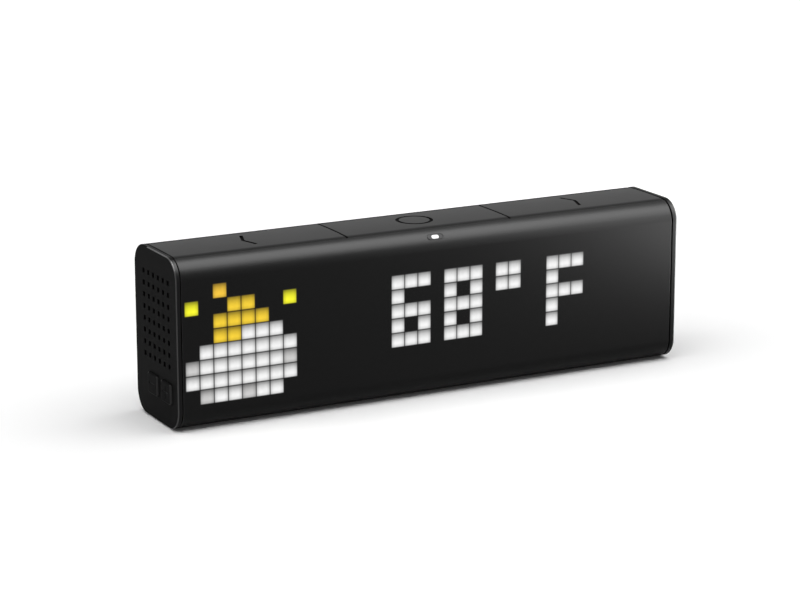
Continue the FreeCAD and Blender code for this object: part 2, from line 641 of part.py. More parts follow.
def block_off(body, name, axis, across, up, level, length=None, forwards=False):
    """Rectangular cut in a body; across and up are ranges in the sketch's plane."""
    sketch = new_sketch(body, name, axis, across[0], up[0], level)
    rectangle(sketch, f"({across[1]}) - ({across[0]})", f"({up[1]}) - ({up[0]})")
    return pocket(body, sketch, length, forwards), sketch


def foot_recess(body, name, line):
    """Recess for a foot pad, with a sunk screw hole in a post on the inside.

    Gives back the features of the left half, for the mirror.
    """
    centre = "-sizes.case_screw_place"
    raised = post(body, f"{name}_post", "z", centre, line, INSIDE_FLOOR, HEAD_POST,
                  "sizes.frame_floor")
    block_off(body, f"{name}_recess", "z", between("0", "sizes.foot_length + 2 * sizes.seat_gap"),
              between(line, "sizes.foot_width + 2 * sizes.seat_gap"), "sizes.foot_proud",
              "sizes.foot_sunk", forwards=True)
    holes = [bore(body, f"{name}_{step}", "z", centre, line, level, radius, length, forwards=True)
             for step, radius, level, length in (
                 ("head", HEAD_HOLE, FOOT_SEAT, "sizes.shell_wall - sizes.foot_sunk"),
                 ("shank", SCREW_HOLE, INSIDE_FLOOR, "sizes.frame_floor"))]
    return [raised, *holes]


def turned_sketch(body, name, radius, across="0", along="0"):
    """Sketch on the front's upper round, square to a line out of the round's middle."""
    sketch = new_sketch(
        body, name, "z", across,
        f"{FRONT} + sizes.corner_radius - ({radius}) * cos(sizes.sensor_angle)"
        f" + ({along}) * sin(sizes.sensor_angle)",
        f"{TOP} - sizes.corner_radius + ({radius}) * sin(sizes.sensor_angle)"
        f" + ({along}) * cos(sizes.sensor_angle)")
    placed = sketch.AttachmentOffset.Base
    tilt = FreeCAD.Rotation(Vector(1, 0, 0), 50)
    sketch.AttachmentOffset = FreeCAD.Placement(placed, tilt)
    sketch.setExpression("AttachmentOffset.Rotation.Angle", "90 - sizes.sensor_angle")
    return sketch


def on_the_outline(edge):
    """Whether the middle of an edge lies on the outer outline of the case."""
    point = edge.valueAt((edge.FirstParameter + edge.LastParameter) / 2)
    radius = value("sizes.corner_radius")
    past_y = max(abs(point.y) - value("sizes.body_depth / 2") + radius, 0)
    past_z = max(abs(point.z - value(MIDDLE)) - value("sizes.body_height / 2") + radius, 0)
    return abs(math.hypot(past_y, past_z) - radius) < SAME_PLACE


def bevel_shell_edges(body, name, seam):
    """Bevel the outer edges of a shell beside the end caps and beside the buttons."""
    end = value(CASE_END)
    seam_place = value(seam)
    roof = value(f"{TOP} - sizes.shell_wall")

    def beside_a_seam(edge):
        at_an_end = lies_at(edge, "x", end) or lies_at(edge, "x", -end)
        at_the_buttons = lies_at(edge, "y", seam_place) and edge.BoundBox.ZMin > roof
        return on_the_outline(edge) and (at_an_end or at_the_buttons)

    bevel_edges(body, name, "sizes.edge_bevel", beside_a_seam)


def front_cover():
    """Smoked cover that wraps the front, from the buttons down to the case floor."""
    body = new_body("front_cover")
    pad(body, section_sketch(body, "cover_outside", "0"), "sizes.body_length", both_ways=True)
    pocket(body, section_sketch(body, "cover_inside", "0", "sizes.shell_wall"))
    slice_away(body, "cover_upper_end", (f"-{STRIP_CASE}", "sizes.body_depth"),
               (MIDDLE, f"{TOP} + sizes.shell_wall"))
    slice_away(body, "cover_lower_end", (COVER_END, "sizes.body_depth"),
               ("-sizes.shell_wall", f"{MIDDLE} + sizes.shell_wall"))
    bevel_shell_edges(body, "cover_bevels", f"-{STRIP_CASE}")
    for name, low in (
            ("lower_ledge", f"{LATTICE_LOW} - sizes.seat_gap - sizes.ledge_height"),
            ("upper_ledge", f"{LATTICE_HIGH} + sizes.seat_gap")):
        block_on(body, name, "y", between("0", LATTICE_LENGTH),
                 (low, f"{low} + sizes.ledge_height"),
                 f"{INSIDE_FRONT} + sizes.ledge_depth", "sizes.ledge_depth")
    left_half = []
    for name, place in (("inner", "sizes.ear_inner"), ("outer", "sizes.ear_outer")):
        left_half.append(block_on(
            body, f"{name}_ear", "z", between(f"-{place}", "sizes.ear_width"),
            (f"{INSIDE_FRONT} + sizes.diffuser_thickness", f"{FRONT} + sizes.ear_reach"),
            DECK_TOP, "sizes.ear_thickness")[0])
        left_half.append(bore(
            body, f"{name}_ear_hole", "z", f"-{place}", f"{FRONT} + sizes.ear_screw_line",
            DECK_TOP, SCREW_HOLE, "sizes.ear_thickness", forwards=True))
    left_half += foot_recess(body, "cover", "-sizes.foot_line")
    mirror(body, "cover_right_half", left_half)
    opening = turned_sketch(body, "sensor_slot", "sizes.corner_radius + sizes.edge_bevel")
    slot(opening, "(sizes.sensor_length + 2 * sizes.sensor_gap)",
         "(sizes.sensor_width + 2 * sizes.sensor_gap)")
    pocket(body, opening, "sizes.shell_wall + 2 * sizes.edge_bevel")


def rear_housing():
    """Housing for the back and most of the floor, with the opening for the power inlet."""
    body = new_body("rear_housing")
    pad(body, section_sketch(body, "housing_outside", "0"), "sizes.body_length", both_ways=True)
    pocket(body, section_sketch(body, "housing_inside", "0", "sizes.shell_wall"))
    slice_away(body, "housing_upper_end", ("-sizes.body_depth", STRIP_CASE),
               (MIDDLE, f"{TOP} + sizes.shell_wall"))
    slice_away(body, "housing_lower_end", ("-sizes.body_depth", f"{COVER_END} + sizes.shell_joint"),
               ("-sizes.shell_wall", f"{MIDDLE} + sizes.shell_wall"))
    bevel_shell_edges(body, "housing_bevels", STRIP_CASE)
    left_half = []
    for name, line in (("front", "sizes.main_post_front"), ("rear", "sizes.main_post_rear")):
        left_half.append(post(
            body, f"{name}_board_post", "z", "-sizes.main_post_place", line, INSIDE_FLOOR,
            SCREW_POST, f"sizes.main_board_low - {INSIDE_FLOOR}"))
        left_half.append(bore(
            body, f"{name}_board_hole", "z", "-sizes.main_post_place", line,
            "sizes.main_board_low", SCREW_HOLE, "sizes.pilot_depth"))
    left_half += foot_recess(body, "housing", "sizes.foot_line")
    mirror(body, "housing_right_half", left_half)
    for name, margin, level, length in (
            ("inlet_recess", "sizes.recess_margin", BACK, "sizes.recess_depth"),
            ("inlet_opening", "sizes.inlet_margin", BACK, "sizes.shell_wall")):
        wide = f"(sizes.inlet_width + 2 * {margin})"
        tall = f"(sizes.inlet_height + 2 * {margin})"
        sketch = new_sketch(body, name, "y", f"-{wide} / 2",
                            f"{MAIN_BOARD_TOP} + sizes.inlet_height / 2 - {tall} / 2", level)
        if name == "inlet_opening":
            rounded_rectangle(sketch, wide, tall, "sizes.inlet_round")
        else:
            rectangle(sketch, wide, tall)
        pocket(body, sketch, length, forwards=True)


def end_cap(side, name, keys):
    """Cap that closes one end of the case, with its grille and the windows for its keys."""
    outwards = side == RIGHT
    body = new_body(name)
    inner = at_side(side, CAP_INNER)
    pad(body, section_sketch(body, f"{name}_collar", inner, "sizes.seam_depth"),
        "sizes.seam_gap", forwards=not outwards)
    pocket(body, section_sketch(body, f"{name}_collar_inside", inner,
                                "sizes.seam_depth + sizes.collar_width"),
           "sizes.seam_gap", forwards=not outwards)
    slice_away(body, f"{name}_collar_top", (f"-{STRIP_CASE}", STRIP_CASE),
               (f"{TOP} - sizes.button_depth - sizes.seam_gap", f"{TOP} + sizes.shell_wall"))
    pad(body, section_sketch(body, f"{name}_plate", inner), "sizes.cap_band", forwards=outwards)
    face = value(at_side(side, CAP_OUTER))
    bevel_edges(body, f"{name}_rim", "sizes.cap_rim_bevel",
                lambda edge: lies_at(edge, "x", face))
    for key, front in keys:
        for step, margin, length in (
                ("window", "sizes.running_gap", "sizes.cap_band"),
                ("pocket", "(sizes.flange_margin + sizes.running_gap)", "sizes.flange_pocket")):
            block_off(body, f"{key}_{step}", "x",
                      (f"{front} - {margin}", f"{front} + sizes.key_width + {margin}"),
                      (f"{KEY_LOW} - {margin}", f"{KEY_LOW} + sizes.key_height + {margin}"),
                      inner, length, forwards=outwards)
    for level, height in (("low", "sizes.cap_post_low"), ("high", "sizes.cap_post_high")):
        post(body, f"{name}_post_{level}", "x", "sizes.cap_post_line", height, inner,
             SCREW_POST, f"{CAP_INNER} - sizes.frame_half", forwards=not outwards)
        bore(body, f"{name}_hole_{level}", "x", "sizes.cap_post_line", height,
             at_side(side, "sizes.frame_half"), SCREW_HOLE, "sizes.pilot_depth",
             forwards=outwards)
    rear = f"{INSIDE_BACK} - sizes.seat_gap"
    block_on(body, f"{name}_rear_tongue", "x", (f"{rear} - sizes.tongue_thickness", rear),
             between(MIDDLE, "sizes.tongue_width"), inner, "sizes.tongue_length",
             forwards=not outwards)
    low = f"{INSIDE_FLOOR} + sizes.seat_gap"
    block_on(body, f"{name}_lower_tongue", "x", between("0", "sizes.tongue_width"),
             (low, f"{low} + sizes.tongue_thickness"), inner, "sizes.tongue_length",
             forwards=not outwards)
    hole, sketch = block_off(
        body, f"{name}_grille", "x", between(GRILLE_FRONT, "sizes.grille_hole"),
        between(GRILLE_LOW, "sizes.grille_hole"), inner, "sizes.cap_band", forwards=outwards)
    repeat(body, hole, sketch,
           across=("sizes.grille_columns", "sizes.grille_pitch * (sizes.grille_columns - 1)"),
           up=("sizes.grille_rows", "sizes.grille_pitch * (sizes.grille_rows - 1)"))


def top_button(name, near, far):
    """Button of the top row, a shell with a post for its switch and four hooks."""
    body = new_body(name)
    low, high = value(near), value(far)
    sketch = section_sketch(body, f"{name}_section", near)
    pad(body, sketch, f"({far}) - ({near})")
    slice_away(body, f"{name}_front_side", ("-sizes.body_depth", f"-{STRIP_BUTTON}"),
               ("-sizes.shell_wall", f"{TOP} + sizes.shell_wall"))
    slice_away(body, f"{name}_rear_side", (STRIP_BUTTON, "sizes.body_depth"),
               ("-sizes.shell_wall", f"{TOP} + sizes.shell_wall"))
    slice_away(body, f"{name}_underside", ("-sizes.body_depth", "sizes.body_depth"),
               ("-sizes.shell_wall", BUTTON_LOW))
    skirt = value(BUTTON_LOW)
    side = value(STRIP_BUTTON)

    def around_the_top(edge):
        at_an_end = lies_at(edge, "x", low) or lies_at(edge, "x", high)
        at_a_side = lies_at(edge, "y", side) or lies_at(edge, "y", -side)
        return edge.BoundBox.ZMin > skirt + SAME_PLACE and (at_an_end or at_a_side)

    bevel_edges(body, f"{name}_bevels", "sizes.button_bevel", around_the_top)
    block_off(body, f"{name}_hollow", "z",
              (f"{near} + sizes.button_skirt", f"{far} - sizes.button_skirt"),
              (f"-{STRIP_BUTTON} + sizes.button_skirt", f"{STRIP_BUTTON} - sizes.button_skirt"),
              BUTTON_LOW, f"{BUTTON_INNER} - {BUTTON_LOW}", forwards=True)
    middle = f"(({near}) + ({far})) / 2"
    post(body, f"{name}_post", "z", middle, "0", BUTTON_INNER, "sizes.post_radius",
         f"{BUTTON_INNER} - {SWITCH_TOP} - sizes.plunger_proud", forwards=False)
    hook_low = f"({DECK_LOW} - sizes.seat_gap - sizes.barb_height)"
    barb_high = f"({DECK_LOW} - sizes.seat_gap)"
    outer = "sizes.hook_line"
    across = between(f"{middle} - sizes.hook_reach", "sizes.hook_length")
    for part, near_line, far_line, start in (
            ("leg", f"{outer} - sizes.hook_thickness", outer, BUTTON_INNER),
            ("barb", outer, f"{outer} + sizes.hook_barb", barb_high)):
        hook, sketch = block_on(body, f"{name}_{part}", "z", across,
                                (f"-({far_line})", f"-({near_line})"), start,
                                f"{start} - {hook_low}", forwards=False)
        repeat(body, hook, sketch, across=("2", "2 * sizes.hook_reach"),
               up=("2", f"({near_line}) + ({far_line})"))


def button_deck():
    """Deck under the buttons, with holes for their posts and slots for their hooks."""
    body = new_body("button_deck")
    block_on(body, "deck_plate", "z", between("0", "sizes.body_length - 2 * sizes.deck_inset"),
             between("0", "sizes.deck_width"), DECK_LOW, "sizes.deck_thickness")
    left_half = []
    for name, place in (("inner", "sizes.ear_inner"), ("outer", "sizes.ear_outer")):
        line = f"{FRONT} + sizes.ear_screw_line"
        left_half.append(post(
            body, f"{name}_ear_post", "z", f"-{place}", line, DECK_LOW, SCREW_POST,
            "sizes.ear_screw_length - sizes.ear_thickness - sizes.deck_thickness",
            forwards=False))
        left_half.append(bore(body, f"{name}_ear_bore", "z", f"-{place}", line, DECK_TOP,
                              SCREW_HOLE))
    for name, place in (("inner", "sizes.board_post_inner"), ("outer", "sizes.board_post_outer")):
        line = "sizes.board_post_line"
        left_half.append(post(
            body, f"{name}_board_post", "z", f"-{place}", line, DECK_LOW, SCREW_POST,
            f"{DECK_LOW} - {BUTTON_BOARD_TOP}", forwards=False))
        left_half.append(bore(
            body, f"{name}_board_bore", "z", f"-{place}", line, BUTTON_BOARD_TOP, SCREW_HOLE,
            f"{DECK_LOW} - {BUTTON_BOARD_TOP} + sizes.deck_thickness / 2", forwards=True))
    for name, line in (("front", "-sizes.deck_post_front"), ("rear", "sizes.deck_post_rear")):
        left_half.append(bore(body, f"{name}_deck_bore", "z", "-sizes.deck_post_place", line,
                              DECK_TOP, SCREW_HOLE, "sizes.deck_thickness"))
    mirror(body, "deck_right_half", left_half)
    hole = bore(body, "post_hole", "z", f"-{SIDE_BUTTON}", "0", DECK_TOP,
                "sizes.post_radius + sizes.running_gap", "sizes.deck_thickness")
    repeat(body, hole, hole.Profile[0], across=("3", f"2 * {SIDE_BUTTON}"))
    slack = "(sizes.hook_barb + 2 * sizes.running_gap)"
    for name, middle in (("left", f"-{SIDE_BUTTON}"), ("centre", "0"), ("right", SIDE_BUTTON)):
        line = "(sizes.hook_line + sizes.hook_barb / 2 - sizes.hook_thickness / 2)"
        cut_slot, sketch = block_off(
            body, f"{name}_slots", "z",
            between(f"{middle} - sizes.hook_reach", "sizes.hook_length + 2 * sizes.running_gap"),
            between(f"-{line}", f"sizes.hook_thickness + {slack}"),
            DECK_TOP, "sizes.deck_thickness")
        repeat(body, cut_slot, sketch, across=("2", "2 * sizes.hook_reach"),
               up=("2", f"2 * {line}"))


def pixel_lattice():
    """Lattice that keeps the light of each pixel to its own square cell."""
    body = new_body("pixel_lattice")
    lowest_row = f"({LATTICE_LOW} + sizes.lattice_rim)"
    for name, up, copies in (
            ("lattice_bar", (LATTICE_LOW, lowest_row),
             ("2", f"{LATTICE_HEIGHT} - sizes.lattice_rim")),
            ("lattice_row", (lowest_row, f"{lowest_row} + sizes.pixel_pitch"),
             ("sizes.pixel_rows", "sizes.pixel_pitch * (sizes.pixel_rows - 1)"))):
        strip, sketch = block_on(body, name, "y", between("0", LATTICE_LENGTH), up, BOARD_FRONT,
                                 "sizes.lattice_depth")
        strip.Refine = False
        repeat(body, strip, sketch, up=copies)
    cell = "(sizes.pixel_pitch - sizes.lattice_wall)"
    first = "-sizes.pixel_pitch * (sizes.pixel_columns - 1) / 2"
    lowest = f"{MIDDLE} - sizes.pixel_pitch * (sizes.pixel_rows - 1) / 2"
    opening, sketch = block_off(body, "cell", "y", between(first, cell), between(lowest, cell),
                                BOARD_FRONT, "sizes.lattice_depth", forwards=True)
    repeat(body, opening, sketch,
           across=("sizes.pixel_columns", "sizes.pixel_pitch * (sizes.pixel_columns - 1)"),
           up=("sizes.pixel_rows", "sizes.pixel_pitch * (sizes.pixel_rows - 1)"))


def pixel_board():
    """Board behind the lattice, which carries the light of every pixel."""
    body = new_body("pixel_board")
    block_on(body, "board_blank", "y", between("0", LATTICE_LENGTH),
             (LATTICE_LOW, LATTICE_HIGH), BOARD_REAR, "sizes.board_thickness")


def diffuser_sheet():
    """Milky sheet between the lattice and the front cover."""
    node(box("diffuser", between("0", LATTICE_LENGTH), (INSIDE_FRONT, LATTICE_FRONT),
             (LATTICE_LOW, LATTICE_HIGH)), "diffuser_sheet")


def inner_frame():
    """Moulded frame that clamps the pixel board and carries the deck and the end caps."""
    body = new_body("inner_frame")
    block_on(body, "frame_blank", "y", between("0", "2 * sizes.frame_half"),
             (FRAME_LOW, LATTICE_HIGH), FRAME_REAR, "sizes.frame_plate")
    rear = f"{INSIDE_BACK} - sizes.frame_rear_gap"
    plate = at_side(LEFT, "sizes.frame_half")
    left_half = [block_on(body, "end_plate", "x", (BOARD_REAR, rear),
                          (SIDE_BOARD_LOW, DECK_LOW), plate, "sizes.frame_plate")[0]]
    place = at_side(LEFT, "sizes.deck_post_place")
    for part, line in (("front", "-sizes.deck_post_front"), ("rear", "sizes.deck_post_rear")):
        left_half.append(post(body, f"{part}_deck_post", "z", place, line, DECK_LOW, SCREW_POST,
                              "sizes.deck_post_length", forwards=False))
        left_half.append(bore(body, f"{part}_deck_hole", "z", place, line, DECK_LOW,
                              SCREW_HOLE, "sizes.deck_post_length"))
    tip = at_side(LEFT, "(sizes.side_board_place - sizes.side_board)")
    for part, sign in (("low", "-"), ("high", "+")):
        height = f"{KEY_MIDDLE} {sign} sizes.side_post_spread / 2"
        left_half.append(post(
            body, f"{part}_board_post", "x", "0", height, plate, SCREW_POST,
            "sizes.side_board_place - sizes.side_board - sizes.frame_half", forwards=False))
        left_half.append(bore(
            body, f"{part}_board_hole", "x", "0", height, tip, SCREW_HOLE,
            f"sizes.side_board_place - sizes.side_board - {END_PLATE}", forwards=True))
    for part, line, height, radius in (
            ("low", "sizes.cap_post_line", "sizes.cap_post_low", SCREW_HOLE),
            ("high", "sizes.cap_post_line", "sizes.cap_post_high", SCREW_HOLE),
            ("speaker", "sizes.speaker_line", "sizes.lead_rise", "sizes.lead_hole"),
            ("board", "sizes.lead_line", KEY_MIDDLE, "sizes.lead_hole")):
        left_half.append(bore(body, f"{part}_plate_hole", "x", line, height, plate, radius,
                              "sizes.frame_plate", forwards=True))
    left_half.append(block_on(
        body, "rear_arm", "z", between("-sizes.case_screw_place", "sizes.arm_width"),
        (FRAME_REAR, f"sizes.foot_line + {SCREW_POST}"), FRAME_LOW, "sizes.frame_floor")[0])
    left_half.append(post(body, "front_case_post", "z", "-sizes.case_screw_place",
                          "-sizes.foot_line", FRAME_LOW, SCREW_POST, "sizes.frame_floor"))
    for name, line in (("front", "-sizes.foot_line"), ("rear", "sizes.foot_line")):
        left_half.append(bore(body, f"{name}_case_hole", "z", "-sizes.case_screw_place", line,
                              FRAME_LOW, SCREW_HOLE, "sizes.frame_floor", forwards=True))
    mirror(body, "frame_right_half", left_half)
    count = "sizes.frame_windows"
    step = f"((2 * sizes.frame_half - sizes.frame_rib) / {count})"
    opening, sketch = block_off(
        body, "frame_window", "y",
        ("sizes.frame_rib - sizes.frame_half", f"{step} - sizes.frame_half"),
        (f"{FRAME_LOW} + sizes.frame_rib", f"{LATTICE_HIGH} - sizes.frame_rib"),
        FRAME_REAR, "sizes.frame_plate", forwards=True)
    repeat(body, opening, sketch, across=(count, f"{step} * ({count} - 1)"))


def end_key(side, name, front):
    """Key in an end cap, with its flange on the inside and the post for its switch."""
    outwards = side == RIGHT
    body = new_body(name)
    face = f"({CAP_OUTER} + sizes.key_proud)"
    across = (front, f"{front} + sizes.key_width")
    up = (KEY_LOW, f"{KEY_LOW} + sizes.key_height")
    block_on(body, f"{name}_cap", "x", across, up, at_side(side, FLANGE_OUTER),
             f"{face} - {FLANGE_OUTER}", forwards=outwards)
    inner = value(at_side(side, FLANGE_OUTER))
    bevel_edges(body, f"{name}_bevels", "sizes.key_bevel",
                lambda edge: not lies_at(edge, "x", inner))
    margin = "sizes.flange_margin"
    block_on(body, f"{name}_flange", "x", (f"{across[0]} - {margin}", f"{across[1]} + {margin}"),
             (f"{up[0]} - {margin}", f"{up[1]} + {margin}"), at_side(side, FLANGE_INNER),
             "sizes.flange_thickness", forwards=outwards)
    post(body, f"{name}_post", "x", f"{across[1]} - sizes.key_post_inset", KEY_MIDDLE,
         at_side(side, FLANGE_INNER), "sizes.key_post_radius",
         f"{FLANGE_INNER} - {SIDE_SWITCH_TOP} - sizes.side_plunger_proud",
         forwards=not outwards)


def foot_pad(name, line):
    """Rubber strip in a recess of the case floor."""
    node(box(f"{name}_strip", between("0", "sizes.foot_length"),
             between(line, "sizes.foot_width"), ("0", FOOT_SEAT)), name)


def button_board():
    """Board under the deck, with its switches and the plungers that ride with the buttons."""
    board = box("button_board_blank", between("0", "2 * sizes.button_board_half"),
                ("-sizes.button_board_front", "sizes.button_board_rear"),
                (f"{BUTTON_BOARD_TOP} - sizes.small_board", BUTTON_BOARD_TOP))
    holes = [
        rod(f"button_board_hole_{i}", "z", (place, "sizes.board_post_line"), SCREW_HOLE,
            f"{BUTTON_BOARD_TOP} - sizes.small_board", BUTTON_BOARD_TOP)
        for i, place in enumerate(BOARD_POSTS)
    ]
    node(cut("button_board_cut", board, fuse("button_board_holes", holes)), "button_board")
    switches = []
    for name, middle in BUTTONS:
        body = box(f"{name}_switch_blank", between(middle, "sizes.switch_side"),
                   between("0", "sizes.switch_side"), (BUTTON_BOARD_TOP, SWITCH_TOP))
        hole = rod(f"{name}_switch_hole", "z", (middle, "0"),
                   "sizes.plunger_radius + sizes.plunger_gap",
                   f"{SWITCH_TOP} - sizes.plunger_sunk - sizes.button_travel"
                   " - sizes.running_gap", SWITCH_TOP)
        switches.append(cut(f"{name}_switch_body", body, hole))
        node(rod(f"{name}_plunger", "z", (middle, "0"), "sizes.plunger_radius",
                 f"{SWITCH_TOP} - sizes.plunger_sunk", f"{SWITCH_TOP} + sizes.plunger_proud"),
             f"{name}_switch_plunger")
    group("top_switches", switches)


def side_board(side, name, keys):
    """Board behind the keys of one end cap, with its switches and their plungers."""
    outer = "sizes.side_board_place"
    x_range = on_side(side, f"{outer} - sizes.side_board", outer)
    board = box(f"{name}_blank", x_range, ("-sizes.side_board_front", "sizes.side_board_rear"),
                (SIDE_BOARD_LOW, f"{SIDE_BOARD_LOW} + sizes.side_board_height"))
    holes = [
        rod(f"{name}_hole_{part}", "x",
            ("0", f"{KEY_MIDDLE} {sign} sizes.side_post_spread / 2"), SCREW_HOLE, *x_range)
        for part, sign in (("low", "-"), ("high", "+"))
    ]
    node(cut(f"{name}_cut", board, fuse(f"{name}_holes", holes)), name)
    switches = []
    for key, front in keys:
        line = f"{front} + sizes.key_width - sizes.key_post_inset"
        body = box(f"{key}_switch_blank", on_side(side, outer, SIDE_SWITCH_TOP),
                   between(line, "sizes.side_switch_width"),
                   between(KEY_MIDDLE, "sizes.side_switch_height"))
        hole = rod(f"{key}_switch_hole", "x", (line, KEY_MIDDLE),
                   "sizes.side_plunger_radius + sizes.plunger_gap",
                   *on_side(side, f"{SIDE_SWITCH_TOP} - sizes.side_plunger_sunk"
                            " - sizes.button_travel - sizes.running_gap", SIDE_SWITCH_TOP))
        switches.append(cut(f"{key}_switch_body", body, hole))
        node(rod(f"{key}_plunger", "x", (line, KEY_MIDDLE), "sizes.side_plunger_radius",
                 *on_side(side, f"{SIDE_SWITCH_TOP} - sizes.side_plunger_sunk",
                          f"{SIDE_SWITCH_TOP} + sizes.side_plunger_proud")),
             f"{key}_plunger")
    return switches


def speaker(side, name):
    """Loudspeaker behind a grille: dust mesh, foam gasket, basket, cone and magnet."""
    outwards = side == RIGHT
    y_range = (SPEAKER_FRONT, f"{SPEAKER_FRONT} + sizes.speaker_width")
    z_range = (SPEAKER_LOW, f"{SPEAKER_LOW} + sizes.speaker_height")

    def drawn_in(inset):
        return tuple((f"{low} + {inset}", f"{high} - {inset}") for low, high in (y_range, z_range))

    node(box(f"{name}_mesh", on_side(side, MESH_INNER, CAP_INNER),
             (f"{GRILLE_FRONT} - {MESH_REACH}", f"{GRILLE_REAR} + {MESH_REACH}"),
             (f"{GRILLE_LOW} - {MESH_REACH}", f"{GRILLE_HIGH} + {MESH_REACH}")),
         f"{name}_grille_mesh")
    foam = on_side(side, SPEAKER_FACE, MESH_INNER)
    node(cut(f"{name}_foam", box(f"{name}_foam_blank", foam, y_range, z_range),
             box(f"{name}_foam_opening", foam, *drawn_in("sizes.gasket_width"))),
         f"{name}_speaker_gasket")
    body = new_body(f"{name}_speaker_basket")
    face = at_side(side, SPEAKER_FACE)
    block_on(body, f"{name}_rim", "x", y_range, z_range, face, "sizes.speaker_rim",
             forwards=not outwards)
    block_on(body, f"{name}_basket", "x", *drawn_in("sizes.basket_inset"),
             at_side(side, f"{SPEAKER_FACE} - sizes.speaker_rim"), "sizes.basket_depth",
             forwards=not outwards)
    block_off(body, f"{name}_chamber", "x", *drawn_in("(sizes.cone_inset - sizes.seat_gap)"),
              face, "sizes.speaker_rim + sizes.basket_depth / 2", forwards=not outwards)
    shapes = []
    for step, inset, depth in (
            ("outside", "sizes.cone_inset", "sizes.cone_depth"),
            ("inside", "(sizes.cone_inset + sizes.cone_sheet)",
             "(sizes.cone_depth - sizes.cone_sheet)")):
        narrow = f"({inset} + {depth} * tan(sizes.cone_slope))"
        shapes.append(tapered(f"{name}_cone_{step}", side, (
            (f"({SPEAKER_FACE} - {depth})", *drawn_in(narrow)),
            (SPEAKER_FACE, *drawn_in(inset)))))
    node(cut(f"{name}_cone", *shapes), f"{name}_speaker_cone")
    magnet_range = on_side(side, f"{BASKET_REAR} - sizes.magnet_depth", BASKET_REAR)
    node(rod(f"{name}_magnet", "x", ("sizes.speaker_line",
                                     f"{SPEAKER_LOW} + sizes.speaker_height / 2"),
             "sizes.magnet_radius", *magnet_range, "sizes.magnet_sides"),
         f"{name}_speaker_magnet")


def main_board():
    """Main board on the posts of the rear housing, with what stands on it."""
    board = box("main_board_blank", between("0", "2 * sizes.main_board_half"),
                ("-sizes.main_board_front", "sizes.main_board_rear"),
                ("sizes.main_board_low", MAIN_BOARD_TOP))
    holes = [
        rod(f"main_board_hole_{i}", "z", place, SCREW_HOLE, "sizes.main_board_low",
            MAIN_BOARD_TOP)
        for i, place in enumerate(MAIN_POSTS)
    ]
    node(cut("main_board_cut", board, fuse("main_board_holes", holes)), "main_board")
    for name, place, part in (("processor_shield", "-sizes.shield_place", "shield"),
                              ("wireless_module", "sizes.module_place", "module")):
        node(box(f"{part}_box", between(place, f"sizes.{part}_length"),
                 between("sizes.component_line", f"sizes.{part}_width"),
                 (MAIN_BOARD_TOP, f"{MAIN_BOARD_TOP} + sizes.{part}_height")), name)


def power_inlet():
    """Small power inlet on the main board, a folded shell around a contact tongue."""
    rear = f"({INSIDE_BACK} - sizes.seat_gap)"
    front = f"({rear} - sizes.inlet_depth)"
    x_range = between("0", "sizes.inlet_width")
    z_range = (MAIN_BOARD_TOP, f"{MAIN_BOARD_TOP} + sizes.inlet_height")
    wall = "sizes.inlet_wall"
    shell = box("inlet_blank", x_range, (front, rear), z_range)
    hollow = box("inlet_hollow", (f"{x_range[0]} + {wall}", f"{x_range[1]} - {wall}"),
                 (f"{front} + {wall}", rear), (f"{z_range[0]} + {wall}", f"{z_range[1]} - {wall}"))
    node(cut("inlet_shell", shell, hollow), "power_inlet_shell")
    node(box("inlet_tongue",
             (f"{x_range[0]} + sizes.contact_inset", f"{x_range[1]} - sizes.contact_inset"),
             (f"{front} + {wall}", f"{rear} - {wall}"),
             between(f"{MAIN_BOARD_TOP} + sizes.inlet_height / 2", "sizes.contact_sheet")),
         "power_inlet_contacts")


def route(points):
    """Straight runs through points, joined by arcs as large as the runs leave room for."""
    runs = [(after - before).Length for before, after in zip(points, points[1:])]
    room = [BEND_SHARE * run for run in runs]
    room[0], room[-1] = END_BEND_SHARE * runs[0], END_BEND_SHARE * runs[-1]
    edges, radii = [], []
    start = points[0]
    for i, (before, corner, after) in enumerate(zip(points, points[1:], points[2:])):
        arriving = (corner - before).normalize()
        leaving = (after - corner).normalize()
        half_turn = arriving.getAngle(leaving) / 2
        reach = min(room[i], room[i + 1])
        radii.append(reach / math.tan(half_turn))
        first, last = corner - arriving * reach, corner + leaving * reach
        inward = (leaving - arriving).normalize()
        middle = corner + inward * radii[-1] * (1 / math.cos(half_turn) - 1)
        edges.append(Part.LineSegment(start, first).toShape())
        edges.append(Part.Arc(first, middle, last).toShape())
        start = last
    edges.append(Part.LineSegment(start, points[-1]).toShape())
    return Part.Wire(edges), radii


def swept(name, section, points):
    """Piece with a constant section along a route; its volume is printed for comparison."""
    path, radii = route(points)
    piece = document.addObject("Part::Feature", f"{name}_along_route")
    piece.Shape = path.makePipeShell([section], True, False)
    expected = Part.Face(section).Area * path.Length
    print(f"{name}: radii {[round(radius, 2) for radius in radii]},"
          f" volume {piece.Shape.Volume:.2f} for {expected:.2f}")
    return node(piece, name)


def ribbon(name, place, points):
    """Flat cable that bends only in the plane square to X; points are pairs along Y and Z."""
    points = [Vector(place, *(value(text) for text in point)) for point in points]
    half, thin = value("sizes.ribbon_width / 2"), value("sizes.ribbon_thickness / 2")
    corners = [points[0] + Vector(x, y, 0)
               for x, y in ((-half, -thin), (half, -thin), (half, thin), (-half, thin))]
    return swept(name, Part.makePolygon(corners + corners[:1]), points)


def lead(name, side, line, points):
    """Six-sided lead in a plane square to Y; points are distances along X and heights."""
    points = [Vector(side * value(across), value(line), value(up)) for across, up in points]
    along = (points[1] - points[0]).normalize()
    spoke = Vector(0, 1, 0) * value("sizes.lead_radius")
    corners = [points[0] + FreeCAD.Rotation(along, 60 * i).multVec(spoke) for i in range(7)]
    return swept(name, Part.makePolygon(corners), points)


